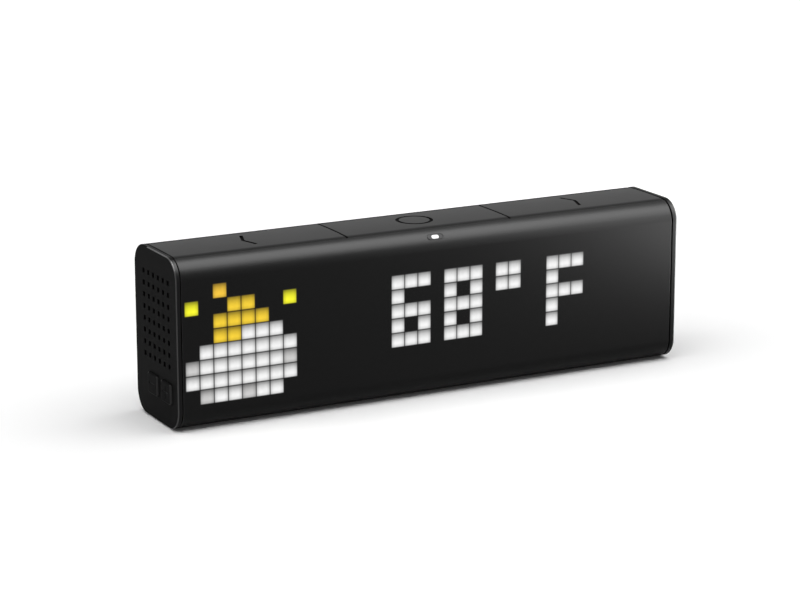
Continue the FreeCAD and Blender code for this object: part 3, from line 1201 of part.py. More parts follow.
def light_sensor():
    """Plain window in the front's upper round, with the light sensor behind it."""
    body = new_body("sensor_window")
    window = turned_sketch(body, "window_slot", "sizes.corner_radius - sizes.sensor_gap")
    slot(window, "sizes.sensor_length", "sizes.sensor_width")
    pad(body, window, "sizes.shell_wall - sizes.sensor_gap", forwards=False)
    body = new_body("light_sensor")
    chip = turned_sketch(body, "sensor_chip", "sizes.corner_radius - sizes.shell_wall",
                         "-sizes.sensor_chip_length / 2", "-sizes.sensor_chip_width / 2")
    rectangle(chip, "sizes.sensor_chip_length", "sizes.sensor_chip_width")
    pad(body, chip, "sizes.sensor_chip_depth", forwards=False)


def cables():
    """Ribbon cables and leads between the boards, and the sockets that they plug into."""
    board = "sizes.ribbon_place"
    deep, tall = "sizes.socket_depth", "sizes.socket_height"
    display_low = "sizes.display_socket_low"
    button_low = f"({BUTTON_BOARD_TOP} - sizes.small_board - {tall})"
    sockets = (
        (board, BOARD_REAR, display_low),
        (board, "-sizes.display_socket_line", MAIN_BOARD_TOP),
        (f"-{board}", "sizes.button_socket_line", MAIN_BOARD_TOP),
        (f"-{board}", "sizes.button_socket_line", button_low),
    )
    group("ribbon_sockets", [
        box(f"ribbon_socket_{i}", between(place, "sizes.socket_width"),
            (near, f"{near} + {deep}"), (low, f"{low} + {tall}"))
        for i, (place, near, low) in enumerate(sockets)
    ])
    group("lead_sockets", [
        box(f"lead_socket_{i}",
            on_side(side, "sizes.main_board_half - sizes.lead_socket_length",
                    "sizes.main_board_half"),
            between("sizes.lead_socket_line", "sizes.lead_socket_width"),
            (MAIN_BOARD_TOP, f"{MAIN_BOARD_TOP} + sizes.lead_socket_height"))
        for i, side in enumerate((LEFT, RIGHT))
    ])
    middle = f"({BOARD_REAR} + {deep} / 2)"
    height = f"({MAIN_BOARD_TOP} + {tall} / 2)"
    ribbon("display_ribbon", value(board), (
        (middle, display_low), (middle, height), ("-sizes.display_socket_line", height)))
    start = f"({MAIN_BOARD_TOP} + {tall})"
    line = f"(sizes.button_socket_line + {deep} / 2)"
    bowed = f"({line} + sizes.ribbon_bow)"
    heights = [f"{start} + {share} * ({button_low} - {start})" for share in BOW_PLACES]
    bends = zip((line, bowed, bowed, line), heights)
    ribbon("button_ribbon", -value(board), ((line, start), *bends, (line, button_low)))
    socket = "sizes.main_board_half"
    arrival = f"({MAIN_BOARD_TOP} + sizes.lead_socket_height / 2)"
    coil = f"({SPEAKER_FACE} - sizes.speaker_rim - sizes.basket_depth / 2)"
    inner, outer = (f"({socket} + {share} * ({coil} - {socket}))"
                    for share in (NEAR_BEND, FAR_BEND))
    for side, word, key_board in ((LEFT, "left", "volume_board"), (RIGHT, "right", "power_board")):
        lead(f"{word}_speaker_lead", side, "sizes.speaker_line", (
            (coil, f"{SPEAKER_LOW} + sizes.basket_inset"), (coil, "sizes.lead_rise"),
            (outer, "sizes.lead_rise"), (inner, arrival), (socket, arrival)))
        lead(f"{key_board}_lead", side, "sizes.lead_line", (
            ("sizes.side_board_place - sizes.side_board", KEY_MIDDLE), (outer, KEY_MIDDLE),
            (inner, arrival), (socket, arrival)))


def screws():
    """All the screws, in one node for each length."""
    case_places = [(place, line) for place in ("-sizes.case_screw_place", "sizes.case_screw_place")
                   for line in ("-sizes.foot_line", "sizes.foot_line")]
    group("case_screws", [
        screw(f"case_screw_{i}", "z", place, INSIDE_FLOOR, "sizes.case_screw_length", False)
        for i, place in enumerate(case_places)
    ])
    deck_places = [(place, line) for place in ("-sizes.deck_post_place", "sizes.deck_post_place")
                   for line in ("-sizes.deck_post_front", "sizes.deck_post_rear")]
    group("deck_screws", [
        screw(f"deck_screw_{i}", "z", place, DECK_TOP, "sizes.deck_screw_length")
        for i, place in enumerate(deck_places)
    ])
    ear_line = f"{FRONT} + sizes.ear_screw_line"
    ear_places = ("-sizes.ear_outer", "-sizes.ear_inner", "sizes.ear_inner", "sizes.ear_outer")
    group("ear_screws", [
        screw(f"ear_screw_{i}", "z", (place, ear_line), f"{DECK_TOP} + sizes.ear_thickness",
              "sizes.ear_screw_length")
        for i, place in enumerate(ear_places)
    ])
    group("end_cap_screws", [
        screw(f"cap_screw_{word}_{part}", "x", ("sizes.cap_post_line", f"sizes.cap_post_{part}"),
              at_side(side, END_PLATE), "sizes.cap_screw_length", side == LEFT)
        for side, word in ((LEFT, "left"), (RIGHT, "right")) for part in ("low", "high")
    ])
    small = [
        screw(f"main_board_screw_{i}", "z", place, MAIN_BOARD_TOP, "sizes.board_screw_length")
        for i, place in enumerate(MAIN_POSTS)
    ]
    small += [
        screw(f"button_board_screw_{i}", "z", (place, "sizes.board_post_line"),
              f"({BUTTON_BOARD_TOP} - sizes.small_board)", "sizes.board_screw_length", False)
        for i, place in enumerate(BOARD_POSTS)
    ]
    small += [
        screw(f"side_board_screw_{word}_{i}", "x",
              ("0", f"{KEY_MIDDLE} {sign} sizes.side_post_spread / 2"),
              at_side(side, "sizes.side_board_place"), "sizes.board_screw_length", side == RIGHT)
        for side, word in ((LEFT, "left"), (RIGHT, "right")) for i, sign in enumerate("-+")
    ]
    group("board_screws", small)


BUTTONS = (("left", f"-{SIDE_BUTTON}"), ("centre", "0"), ("right", SIDE_BUTTON))
BOARD_POSTS = ("-sizes.board_post_outer", "-sizes.board_post_inner",
               "sizes.board_post_inner", "sizes.board_post_outer")
MAIN_POSTS = [(place, line) for place in ("-sizes.main_post_place", "sizes.main_post_place")
              for line in ("sizes.main_post_front", "sizes.main_post_rear")]
VOLUME_KEYS = (("volume_up", FIRST_KEY), ("volume_down", SECOND_KEY))
POWER_KEYS = (("power", SECOND_KEY),)

front_cover()
rear_housing()
end_cap(LEFT, "left_end_cap", VOLUME_KEYS)
end_cap(RIGHT, "right_end_cap", POWER_KEYS)
top_button("left_button", f"-{BUTTON_END}", f"-{BUTTON_START}")
top_button("centre_button", "(sizes.key_gap / 2 - sizes.divider_place)",
           "(sizes.divider_place - sizes.key_gap / 2)")
top_button("right_button", BUTTON_START, BUTTON_END)
button_deck()
button_board()
for key_name, key_place in VOLUME_KEYS:
    end_key(LEFT, f"{key_name}_key", key_place)
for key_name, key_place in POWER_KEYS:
    end_key(RIGHT, f"{key_name}_key", key_place)
group("volume_switches", side_board(LEFT, "volume_board", VOLUME_KEYS))
node(side_board(RIGHT, "power_board", POWER_KEYS)[0], "power_switch")
pixel_lattice()
diffuser_sheet()
pixel_board()
inner_frame()
main_board()
power_inlet()
for speaker_side, speaker_name in ((LEFT, "left"), (RIGHT, "right")):
    speaker(speaker_side, speaker_name)
cables()
light_sensor()
foot_pad("front_foot_pad", "-sizes.foot_line")
foot_pad("rear_foot_pad", "sizes.foot_line")
screws()
document.recompute()

failed = [item.Name for item in document.Objects if {"Invalid", "Error"} & set(item.State)]
if failed:
    raise RuntimeError(f"these objects failed: {failed}")
for item in document.Objects:
    if item.TypeId == "PartDesign::Pocket" and item.BaseFeature:
        if item.Shape.Volume > item.BaseFeature.Shape.Volume - LEAST_VOLUME:
            raise RuntimeError(f"{item.Name} cuts nothing")
os.makedirs("parts", exist_ok=True)
for piece in nodes:
    shape = piece.Shape
    if shape.isNull() or not shape.isValid():
        raise RuntimeError(f"{piece.Label} has no valid shape")
    shape.exportStep(f"parts/{piece.Label}.step")
print(f"{len(nodes)} pieces written")
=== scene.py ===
"""Looks of a smart pixel clock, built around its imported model.

The clock is a long black case with a front of lit square cells, three press
buttons along its top, and a grille with keys in each end.
"""

import json
import logging
import math
from collections.abc import Callable
from dataclasses import dataclass
from enum import Enum

import bmesh
import bpy
from mathutils import Matrix, Vector


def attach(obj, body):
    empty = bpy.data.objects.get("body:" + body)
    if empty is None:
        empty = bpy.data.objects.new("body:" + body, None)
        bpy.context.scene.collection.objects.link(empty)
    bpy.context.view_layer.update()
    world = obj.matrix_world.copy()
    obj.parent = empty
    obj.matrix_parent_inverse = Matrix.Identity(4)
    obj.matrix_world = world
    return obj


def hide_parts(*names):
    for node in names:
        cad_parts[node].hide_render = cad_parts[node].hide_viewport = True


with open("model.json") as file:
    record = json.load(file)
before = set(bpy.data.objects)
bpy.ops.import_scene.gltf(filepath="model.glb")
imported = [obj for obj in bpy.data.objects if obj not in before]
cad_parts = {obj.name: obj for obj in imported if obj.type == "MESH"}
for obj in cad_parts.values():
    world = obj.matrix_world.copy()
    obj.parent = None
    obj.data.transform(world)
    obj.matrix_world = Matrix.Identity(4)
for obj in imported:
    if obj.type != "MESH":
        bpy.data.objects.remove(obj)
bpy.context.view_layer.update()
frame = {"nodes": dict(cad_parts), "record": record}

LOG = logging.getLogger("pixel_clock")
MM = 0.001
WHITE = (1.0, 1.0, 1.0, 1.0)
PATCH_SCALE = 0.02  # of a finish's broad patches, against its grain
THREAD_SCALE = 0.31  # of a cloth's threads, against its grain
BRUSH_STRETCH = (0.04, 1.0, 1.0)  # draws the grain out into lines along X
SHARP_ANGLE = math.radians(32.0)  # sharper edges stay sharp in the shading
LEANING = 0.2  # a face whose normal leans this far is a side wall
SLIVER = 0.01  # leaves a straight stretch between corners; play in finding the top

Colour = tuple[float, float, float]
Place = tuple[float, float, float]
Point = tuple[float, float]
Ramp = tuple[Point, Point]
Loop = list[Point]
Rings = list[list[Vector]]


class Grain(Enum):
    """How the small relief of a finish is laid."""

    MOULDED = "fine spark-eroded grain"
    BRUSHED = "fine lines one way"
    WOVEN = "crossing threads"
    SMOOTH = "polished, with a faint waviness"


class Wiring:
    """A node tree, with short ways to add nodes and to join them."""

    def __init__(self, tree: bpy.types.NodeTree) -> None:
        """Takes the tree that the nodes go into."""
        self.tree = tree

    def node(
        self, kind: str, given: dict[str | int, object] | None = None, **settings: object
    ) -> bpy.types.Node:
        """Adds a node.

        Args:
            kind: Type name of the node.
            given: Values or sockets for its inputs, by name or number.
            settings: Properties that it gets.

        Returns:
            The node.
        """
        node = self.tree.nodes.new(kind)
        for key, value in settings.items():
            setattr(node, key, value)
        self.feed(node, given or {})
        return node

    def feed(self, node: bpy.types.Node, given: dict[str | int, object]) -> None:
        """Sets or links a node's inputs.

        Args:
            node: The node.
            given: Values or sockets for its inputs, by name or number.
        """
        for key, source in given.items():
            if isinstance(source, bpy.types.NodeSocket):
                self.tree.links.new(source, node.inputs[key])
            else:
                node.inputs[key].default_value = source

    def worked_out(self, operation: str, *sources: object) -> bpy.types.NodeSocket:
        """Returns the socket of a sum with one or two sources."""
        figures = dict(enumerate(sources))
        return self.node("ShaderNodeMath", figures, operation=operation).outputs["Value"]

    def joined(
        self, operation: str, sources: list[bpy.types.NodeSocket]
    ) -> bpy.types.NodeSocket:
        """Returns the socket of many sources joined by the same sum."""
        result = sources[0]
        for source in sources[1:]:
            result = self.worked_out(operation, result, source)
        return result

    def ramp(
        self, value: bpy.types.NodeSocket, before: Point, after: Point,
        kind: str = "SMOOTHSTEP",
    ) -> bpy.types.NodeSocket:
        """Returns the socket of a step.

        Args:
            value: The socket that goes in.
            before: Where the step starts and ends.
            after: What it is before the start and past the end.
            kind: Its form.

        Returns:
            The socket of the result.
        """
        ends = {
            "Value": value,
            "From Min": before[0],
            "From Max": before[1],
            "To Min": after[0],
            "To Max": after[1],
        }
        step = self.node("ShaderNodeMapRange", ends, interpolation_type=kind)
        return step.outputs["Result"]

    def seen_by(self, *rays: str) -> bpy.types.NodeSocket:
        """Returns the socket that is 1 for the named kinds of ray and 0 for others."""
        path = self.node("ShaderNodeLightPath")
        return self.joined("MAXIMUM", [path.outputs[f"Is {ray} Ray"] for ray in rays])


def new_material(name: str) -> bpy.types.Material:
    """Returns a new material with nodes."""
    material = bpy.data.materials.new(name)
    material.use_nodes = True
    return material


@dataclass(frozen=True)
class Finish:
    """One finish: a shader with its colour change, roughness change and relief."""

    name: str
    colour: Colour
    shade: Colour
    roughness: float
    spread: float = 0.05
    grain: Grain = Grain.MOULDED
    size: float = 0.25 * MM
    depth: float = 0.01 * MM
    metallic: float = 0.0
    specular: float = 0.5

    def make(self) -> bpy.types.Material:
        """Builds the material.

        Returns:
            The finished node material.
        """
        material = new_material(self.name)
        wiring = Wiring(material.node_tree)
        place = wiring.node("ShaderNodeTexCoord").outputs["Object"]
        broad = wiring.node(
            "ShaderNodeTexNoise",
            {"Scale": PATCH_SCALE / self.size, "Detail": 3.0, "Vector": place},
        ).outputs["Fac"]
        blend = wiring.node(
            "ShaderNodeMix",
            {"A": (*self.colour, 1.0), "B": (*self.shade, 1.0), "Factor": broad},
            data_type="RGBA",
        )
        limits = (self.roughness - self.spread, self.roughness + self.spread)
        relief = {
            "Distance": self.depth,
            "Strength": 1.0,
            "Height": self.relief(wiring, place),
        }
        wiring.feed(
            wiring.tree.nodes["Principled BSDF"],
            {
                "Metallic": self.metallic,
                "Specular IOR Level": self.specular,
                "Base Color": blend.outputs["Result"],
                "Roughness": wiring.ramp(broad, (0.0, 1.0), limits, "LINEAR"),
                "Normal": wiring.node("ShaderNodeBump", relief).outputs["Normal"],
            },
        )
        return material

    def relief(
        self, wiring: Wiring, place: bpy.types.NodeSocket
    ) -> bpy.types.NodeSocket:
        """Builds the height pattern of the finish.

        Args:
            wiring: The material's nodes.
            place: The socket of the object coordinates.

        Returns:
            The socket that carries the height.
        """
        scale = BRUSH_STRETCH if self.grain is Grain.BRUSHED else (1.0, 1.0, 1.0)
        spread = wiring.node("ShaderNodeMapping", {"Vector": place, "Scale": scale})
        spot = spread.outputs["Vector"]
        if self.grain is Grain.WOVEN:
            thread = {"Scale": THREAD_SCALE / self.size, "Vector": spot}
            threads = [
                wiring.node("ShaderNodeTexWave", thread, bands_direction=way)
                for way in ("Y", "Z")
            ]
            return wiring.joined("MAXIMUM", [one.outputs["Fac"] for one in threads])
        fine = {"Scale": 1.0 / self.size, "Detail": 2.0, "Vector": spot}
        return wiring.node("ShaderNodeTexNoise", fine).outputs["Fac"]


def grey(value: float) -> Colour:
    """Returns a neutral colour of that value."""
    return (value, value, value)


GLOSSY = {"grain": Grain.SMOOTH, "size": 0.6 * MM, "depth": 0.001 * MM}
RIMMED = {"grain": Grain.SMOOTH, "size": 0.4 * MM, "depth": 0.001 * MM}
FINE = {"size": 0.22 * MM, "depth": 0.003 * MM}
COARSE = {"size": 0.22 * MM, "depth": 0.006 * MM}
FINISHES = {
    one.name: one
    for one in (
        Finish("front_gloss", grey(0.0004), grey(0.0008), 0.335, 0.015, specular=0.098, **GLOSSY),
        # painted highlight: a lighter, shinier copy of the front plastic for the cover's end faces
        # beside the seams
        Finish("edge_gloss", grey(0.006), grey(0.008), 0.3, 0.02, specular=0.3, **GLOSSY),
        Finish(
            "case_plastic", grey(0.004), grey(0.006), 0.42, 0.02,
            size=0.22 * MM, depth=0.004 * MM, specular=0.12,
        ),
        Finish("cap_texture", grey(0.004), grey(0.006), 0.5, 0.03, specular=0.01, **COARSE),
        # painted sheen: a copy of the cap plastic with its own colour and shine for the top of the
        # band round each cap
        Finish("cap_band", grey(0.003), grey(0.0045), 0.42, 0.02, specular=0.022, **FINE),
        # painted highlight: a lighter, shinier copy of the cap plastic for the caps' rounded rims
        Finish("cap_rim", grey(0.008), grey(0.011), 0.3, 0.02, specular=0.48, **RIMMED),
        Finish("button_plastic", grey(0.003), grey(0.0045), 0.35, 0.02, specular=0.04, **FINE),
        # painted shade: a duller copy of the button plastic, same colour, for the buttons' rear
        # edges, which then show less reflection
        Finish("button_edge", grey(0.003), grey(0.0045), 0.7, 0.03, specular=0.02),
        Finish("key_plastic", grey(0.003), grey(0.0045), 0.48, 0.03, specular=0.01, **COARSE),
        # painted highlight: a lighter, shinier copy of the key plastic for the keys' upright sides
        Finish("key_wall", grey(0.006), grey(0.008), 0.35, 0.02, specular=0.2, **RIMMED),
        # painted shade: near-black matte finish for the engraved grooves of the buttons and the
        # rear of the caps' rims
        Finish("groove_black", grey(0.0015), grey(0.002), 0.7, specular=0.02),
        Finish("sign_grey", grey(0.005), grey(0.007), 0.5, specular=0.03),
        Finish("inner_plastic", grey(0.012), grey(0.016), 0.55),
        Finish("lattice_plastic", grey(0.7), grey(0.62), 0.6),
        Finish("diffuser_film", grey(0.78), grey(0.7), 0.7),
        Finish("circuit_board", (0.01, 0.075, 0.035), (0.012, 0.055, 0.03), 0.4),
        Finish("switch_housing", grey(0.03), grey(0.04), 0.5),
        Finish("switch_plunger", grey(0.5), grey(0.42), 0.5),
        Finish("shield_steel", grey(0.6), grey(0.52), 0.32, grain=Grain.BRUSHED, metallic=1.0),
        Finish("contact_plastic", grey(0.02), grey(0.03), 0.5),
        Finish("socket_plastic", (0.62, 0.58, 0.48), (0.55, 0.5, 0.42), 0.5),
        Finish("ribbon_film", (0.42, 0.2, 0.05), (0.36, 0.16, 0.04), 0.35),
        Finish("lead_sheath", grey(0.02), grey(0.035), 0.6),
        Finish("foot_rubber", grey(0.02), grey(0.03), 0.8, depth=0.02 * MM),
        Finish("screw_steel", grey(0.35), grey(0.3), 0.35, metallic=1.0),
        Finish("window_plastic", grey(0.6), grey(0.54), 0.3, grain=Grain.SMOOTH, depth=0.001 * MM),
        Finish("window_smoke", grey(0.0004), grey(0.0008), 0.33, 0.01, specular=0.085, **GLOSSY),
        Finish("sensor_chip", grey(0.03), grey(0.05), 0.35),
        Finish(
            "mesh_cloth", grey(0.006), grey(0.01), 0.9,
            grain=Grain.WOVEN, size=0.5 * MM, depth=0.08 * MM,
        ),
        Finish("gasket_foam", grey(0.03), grey(0.045), 0.95, depth=0.06 * MM),
        Finish("speaker_plastic", grey(0.02), grey(0.03), 0.5),
        Finish("cone_paper", grey(0.03), grey(0.05), 0.85, depth=0.05 * MM),
        Finish("magnet_steel", grey(0.4), grey(0.33), 0.4, metallic=1.0),
    )
}


@dataclass(frozen=True)
class Case:
    """Sizes that the outer pieces share, in millimetres."""

    left: float = -98.4
    right: float = 98.7
    front: float = -18.0
    rear: float = 18.0
    low: float = 0.4
    top: float = 61.0
    radius: float = 7.8
    wall: float = 2.0
    wrap: float = -3.0
    joint: float = 0.1
    strip: float = 12.5
    seam: float = 0.3
    edge: float = 0.12
    end_edge: float = 0.2

    @property
    def middle(self) -> float:
        """Height of the middle of the case."""
        return (self.low + self.top) / 2

    def outline(self, inset: float = 0.0, steps: int = 20) -> Loop:
        """Returns the end outline, drawn in by a distance.

        Args:
            inset: Distance from the case's outside.
            steps: Segments in each corner.

        Returns:
            The closed outline as (Y, Z) points.
        """
        near, far = self.front + self.radius, self.rear - self.radius
        down, up = self.low + self.radius, self.top - self.radius
        return rounded((near, down), (far, up), self.radius - inset, steps)


CASE = Case()


def arc(centre: Point, radius: float, start: float, end: float, steps: int) -> Loop:
    """Returns points along an arc.

    Args:
        centre: Middle of the arc.
        radius: Radius of the arc.
        start: First angle in degrees.
        end: Last angle in degrees.
        steps: Number of segments.

    Returns:
        The points from the first angle to the last.
    """
    angles = [
        math.radians(start + (end - start) * step / steps) for step in range(steps + 1)
    ]
    return [
        (centre[0] + radius * math.cos(a), centre[1] + radius * math.sin(a))
        for a in angles
    ]


def rounded(low: Point, high: Point, radius: float, steps: int) -> Loop:
    """Returns a rounded rectangle from the middles of its corners.

    Args:
        low: Middle of the corner with the smallest coordinates.
        high: Middle of the corner with the largest coordinates.
        radius: Corner radius.
        steps: Segments in each corner.

    Returns:
        The closed outline.
    """
    loop: Loop = []
    for quarter, centre in enumerate((high, (low[0], high[1]), low, (high[0], low[1]))):
        start = 90.0 * quarter
        loop += arc(centre, radius, start, start + 90.0, steps)
    return loop


def box_loop(low: Point, high: Point, radius: float, steps: int = 8) -> Loop:
    """Returns a rounded rectangle from its corners.

    Args:
        low: Corner with the smallest coordinates.
        high: Corner with the largest coordinates.
        radius: Corner radius.
        steps: Segments in each corner.

    Returns:
        The closed outline.
    """
    first = (low[0] + radius, low[1] + radius)
    last = (high[0] - radius, high[1] - radius)
    return rounded(first, last, radius, steps)


def area(loop: Loop) -> float:
    """Returns the signed area inside a loop, positive where it runs anticlockwise."""
    pairs = zip(loop, loop[1:] + loop[:1])
    return sum(a[0] * b[1] - b[0] * a[1] for a, b in pairs) / 2


def drawn_in(loop: Loop, distance: float) -> Loop:
    """Moves every point of a loop inwards.

    Args:
        loop: A closed loop.
        distance: How far its sides move in.

    Returns:
        The smaller loop, with as many points.
    """
    sign = 1.0 if area(loop) > 0 else -1.0
    count = len(loop)
    moved: Loop = []
    for index, here in enumerate(loop):
        before, after = loop[index - 1], loop[(index + 1) % count]
        one = Vector((here[0] - before[0], here[1] - before[1])).normalized()
        two = Vector((after[0] - here[0], after[1] - here[1])).normalized()
        normal_one = Vector((-one.y, one.x)) * sign
        normal_two = Vector((-two.y, two.x)) * sign
        middle = (normal_one + normal_two).normalized()
        reach = distance / max(0.4, middle.dot(normal_one))
        moved.append((here[0] + middle.x * reach, here[1] + middle.y * reach))
    return moved


def softened(loop: Loop, radius: float, steps: int = 4) -> Loop:
    """Rounds the sharp corners of a loop.

    Args:
        loop: A closed loop, whose curves are already in short segments.
        radius: Radius that the sharp corners get.
        steps: Segments in each rounded corner.

    Returns:
        The loop with its sharp corners rounded.
    """
    count = len(loop)
    rounded: Loop = []
    for index, here in enumerate(loop):
        corner = Vector(here)
        one = (corner - Vector(loop[index - 1])).normalized()
        two = (Vector(loop[(index + 1) % count]) - corner).normalized()
        turn = math.atan2(one.x * two.y - one.y * two.x, one.dot(two))
        if abs(turn) < math.radians(30.0):
            rounded.append(here)
            continue
        reach = radius * math.tan(abs(turn) / 2)
        for step in range(steps + 1):
            share = step / steps
            first = corner - one * reach * (1 - share)
            last = corner + two * reach * share
            point = first.lerp(last, share)
            rounded.append((point.x, point.y))
    return rounded


@dataclass(frozen=True)
class Station:
    """One loop of a lofted piece: how far along it lies, and how far in."""

    along: float
    inset: float


def rim(end: float, radius: float, towards: float, steps: int = 4) -> list[Station]:
    """Returns the stations of a rounded rim.

    Args:
        end: Where the piece ends along its length.
        radius: Radius of the rim.
        towards: 1 where the end is the high one, -1 where it is the low one.
        steps: Segments in the rim.

    Returns:
        The stations from the low end to the high end.
    """
    stations = []
    for step in range(steps + 1):
        angle = math.radians(90.0 * step / steps)
        stations.append(
            Station(
                end - towards * radius * (1 - math.sin(angle)),
                radius * (1 - math.cos(angle)),
            )
        )
    return stations if towards > 0 else stations[::-1]


def new_object(name: str, data: bpy.types.ID) -> bpy.types.Object:
    """Returns a new object of the scene that holds a mesh, camera or light."""
    piece = bpy.data.objects.new(name, data)
    bpy.context.scene.collection.objects.link(piece)
    return piece


def lofted(name: str, rings: Rings, finish: bpy.types.Material) -> bpy.types.Object:
    """Skins closed rings of points into a closed solid.

    Args:
        name: Name of the piece.
        rings: Rings with equally many points, in millimetres.
        finish: Material of the piece.

    Returns:
        The piece, with its faces pointing outwards.
    """
    work = bmesh.new()
    rows = [[work.verts.new(point * MM) for point in ring] for ring in rings]
    count = len(rows[0])
    for lower, upper in zip(rows, rows[1:]):
        for index in range(count):
            other = (index + 1) % count
            work.faces.new((lower[index], lower[other], upper[other], upper[index]))
    work.faces.new(rows[0])
    work.faces.new(rows[-1][::-1])
    bmesh.ops.remove_doubles(work, verts=work.verts, dist=1e-7)
    bmesh.ops.recalc_face_normals(work, faces=work.faces)
    if work.calc_volume(signed=True) < 0.0:
        bmesh.ops.reverse_faces(work, faces=work.faces)
    mesh = bpy.data.meshes.new(name)
    work.to_mesh(mesh)
    work.free()
    mesh.materials.append(finish)
    return new_object(name, mesh)


def along_x(loop: Loop, stations: list[Station], sign: float = 1.0) -> Rings:
    """Returns the rings of a piece that runs along X.

    Args:
        loop: Its (Y, Z) section.
        stations: Where its rings lie, and how far they are drawn in.
        sign: 1, or -1 for a piece that runs towards the low end.

    Returns:
        The rings.
    """
    return [
        [Vector((sign * s.along, y, z)) for y, z in drawn_in(loop, s.inset)]
        for s in stations
    ]


def settle(piece: bpy.types.Object) -> None:
    """Puts the work of a piece's modifiers into its mesh and removes them."""
    mesh = evaluated_mesh(piece)
    piece.modifiers.clear()
    old = piece.data
    piece.data = mesh
    bpy.data.meshes.remove(old)


def baked(piece: bpy.types.Object) -> bpy.types.Object:
    """Fixes a piece's modifiers in its mesh and smooths its shading.

    Args:
        piece: The piece with its modifiers.

    Returns:
        The same piece, with a plain mesh.
    """
    settle(piece)
    piece.data.shade_smooth()
    piece.data.set_sharp_from_angle(angle=SHARP_ANGLE)
    weighted = piece.modifiers.new("flat_faces", "WEIGHTED_NORMAL")
    weighted.keep_sharp = True
    settle(piece)
    piece.data.name = piece.name
    return piece


def coat(
    piece: bpy.types.Object,
    finish: bpy.types.Material,
    chosen: Callable[[bpy.types.MeshPolygon], bool],
) -> None:
    """Gives some faces of a piece another finish.

    Args:
        piece: The piece.
        finish: The other finish.
        chosen: Tells which faces get it.
    """
    mesh = piece.data
    mesh.materials.append(finish)
    last = len(mesh.materials) - 1
    for face in mesh.polygons:
        if chosen(face):
            face.material_index = last


def evaluated_mesh(piece: bpy.types.Object) -> bpy.types.Mesh:
    """Returns a new mesh of a piece as its modifiers leave it."""
    bpy.context.view_layer.update()
    graph = bpy.context.evaluated_depsgraph_get()
    return bpy.data.meshes.new_from_object(
        piece.evaluated_get(graph), preserve_all_data_layers=True, depsgraph=graph
    )


def cut(piece: bpy.types.Object, *tools: bpy.types.Object) -> None:
    """Takes the shapes of tools away from a piece and removes the tools.

    Args:
        piece: The piece that is cut.
        tools: Closed shapes.
    """
    for tool in tools:
        away = piece.modifiers.new("cut", "BOOLEAN")
        away.operation = "DIFFERENCE"
        away.solver = "EXACT"
        away.material_mode = "TRANSFER"
        away.object = tool
    settle(piece)
    for tool in tools:
        bpy.data.objects.remove(tool)


class NodeTree(Wiring):
    """A geometry node tree that is built in code and baked into a mesh."""

    def __init__(self, name: str, inputs: dict[str, str]) -> None:
        """Starts the tree.

        Args:
            name: Name of the tree.
            inputs: The kinds of its inputs after the geometry, by name.
        """
        super().__init__(bpy.data.node_groups.new(name, "GeometryNodeTree"))
        self.sockets = {
            one: self.socket(one, "INPUT", kind)
            for one, kind in {"Geometry": "Geometry", **inputs}.items()
        }
        self.socket("Geometry", "OUTPUT", "Geometry")
        self.given = self.node("NodeGroupInput").outputs

    def socket(self, name: str, way: str, kind: str) -> str:
        """Adds a socket to the tree's outside and returns what identifies it."""
        sockets = self.tree.interface
        return sockets.new_socket(
            name, in_out=way, socket_type=f"NodeSocket{kind}"
        ).identifier

    def finish(self, last: bpy.types.NodeSocket) -> None:
        """Ends the tree in Realize Instances and Set Material.

        Args:
            last: The socket that carries the geometry.
        """
        real = self.node("GeometryNodeRealizeInstances", {"Geometry": last})
        coated = self.node(
            "GeometryNodeSetMaterial",
            {"Geometry": real.outputs["Geometry"], "Material": self.given["Finish"]},
        )
        self.node("NodeGroupOutput", {"Geometry": coated.outputs["Geometry"]})

    def bake(
        self, name: str, base: bpy.types.Object, values: dict[str, object]
    ) -> bpy.types.Object:
        """Runs the tree on an object and keeps the result as a plain mesh.

        Args:
            name: Name of the new piece.
            base: The object whose geometry goes in. It is removed.
            values: The inputs by name.

        Returns:
            The new piece.
        """
        modifier = base.modifiers.new(name, "NODES")
        modifier.node_group = self.tree
        for key, value in values.items():
            modifier[self.sockets[key]] = value
        mesh = evaluated_mesh(base)
        bpy.data.objects.remove(base)
        mesh.name = name
        return new_object(name, mesh)


@dataclass
class Wardrobe:
    """The finishes by the record's slot names, each made once."""

    made: dict[str, bpy.types.Material]

    def get(self, name: str) -> bpy.types.Material:
        """Returns the material of a slot, making it the first time."""
        if name not in self.made:
            finish = LitFinish() if name == "lit_front" else FINISHES[name]
            self.made[name] = finish.make()
        return self.made[name]


class Side(Enum):
    """An end of the case."""

    LEFT = -1
    RIGHT = 1

    @property
    def word(self) -> str:
        """The word that names of pieces use."""
        return self.name.lower()


class Sign(Enum):
    """A sign on a button or key, as strokes of (across, up) points."""

    RING = "ring"
    LEFT_ARROW = "left arrow"
    RIGHT_ARROW = "right arrow"
    PLUS = "plus"
    MINUS = "minus"
    POWER = "power"


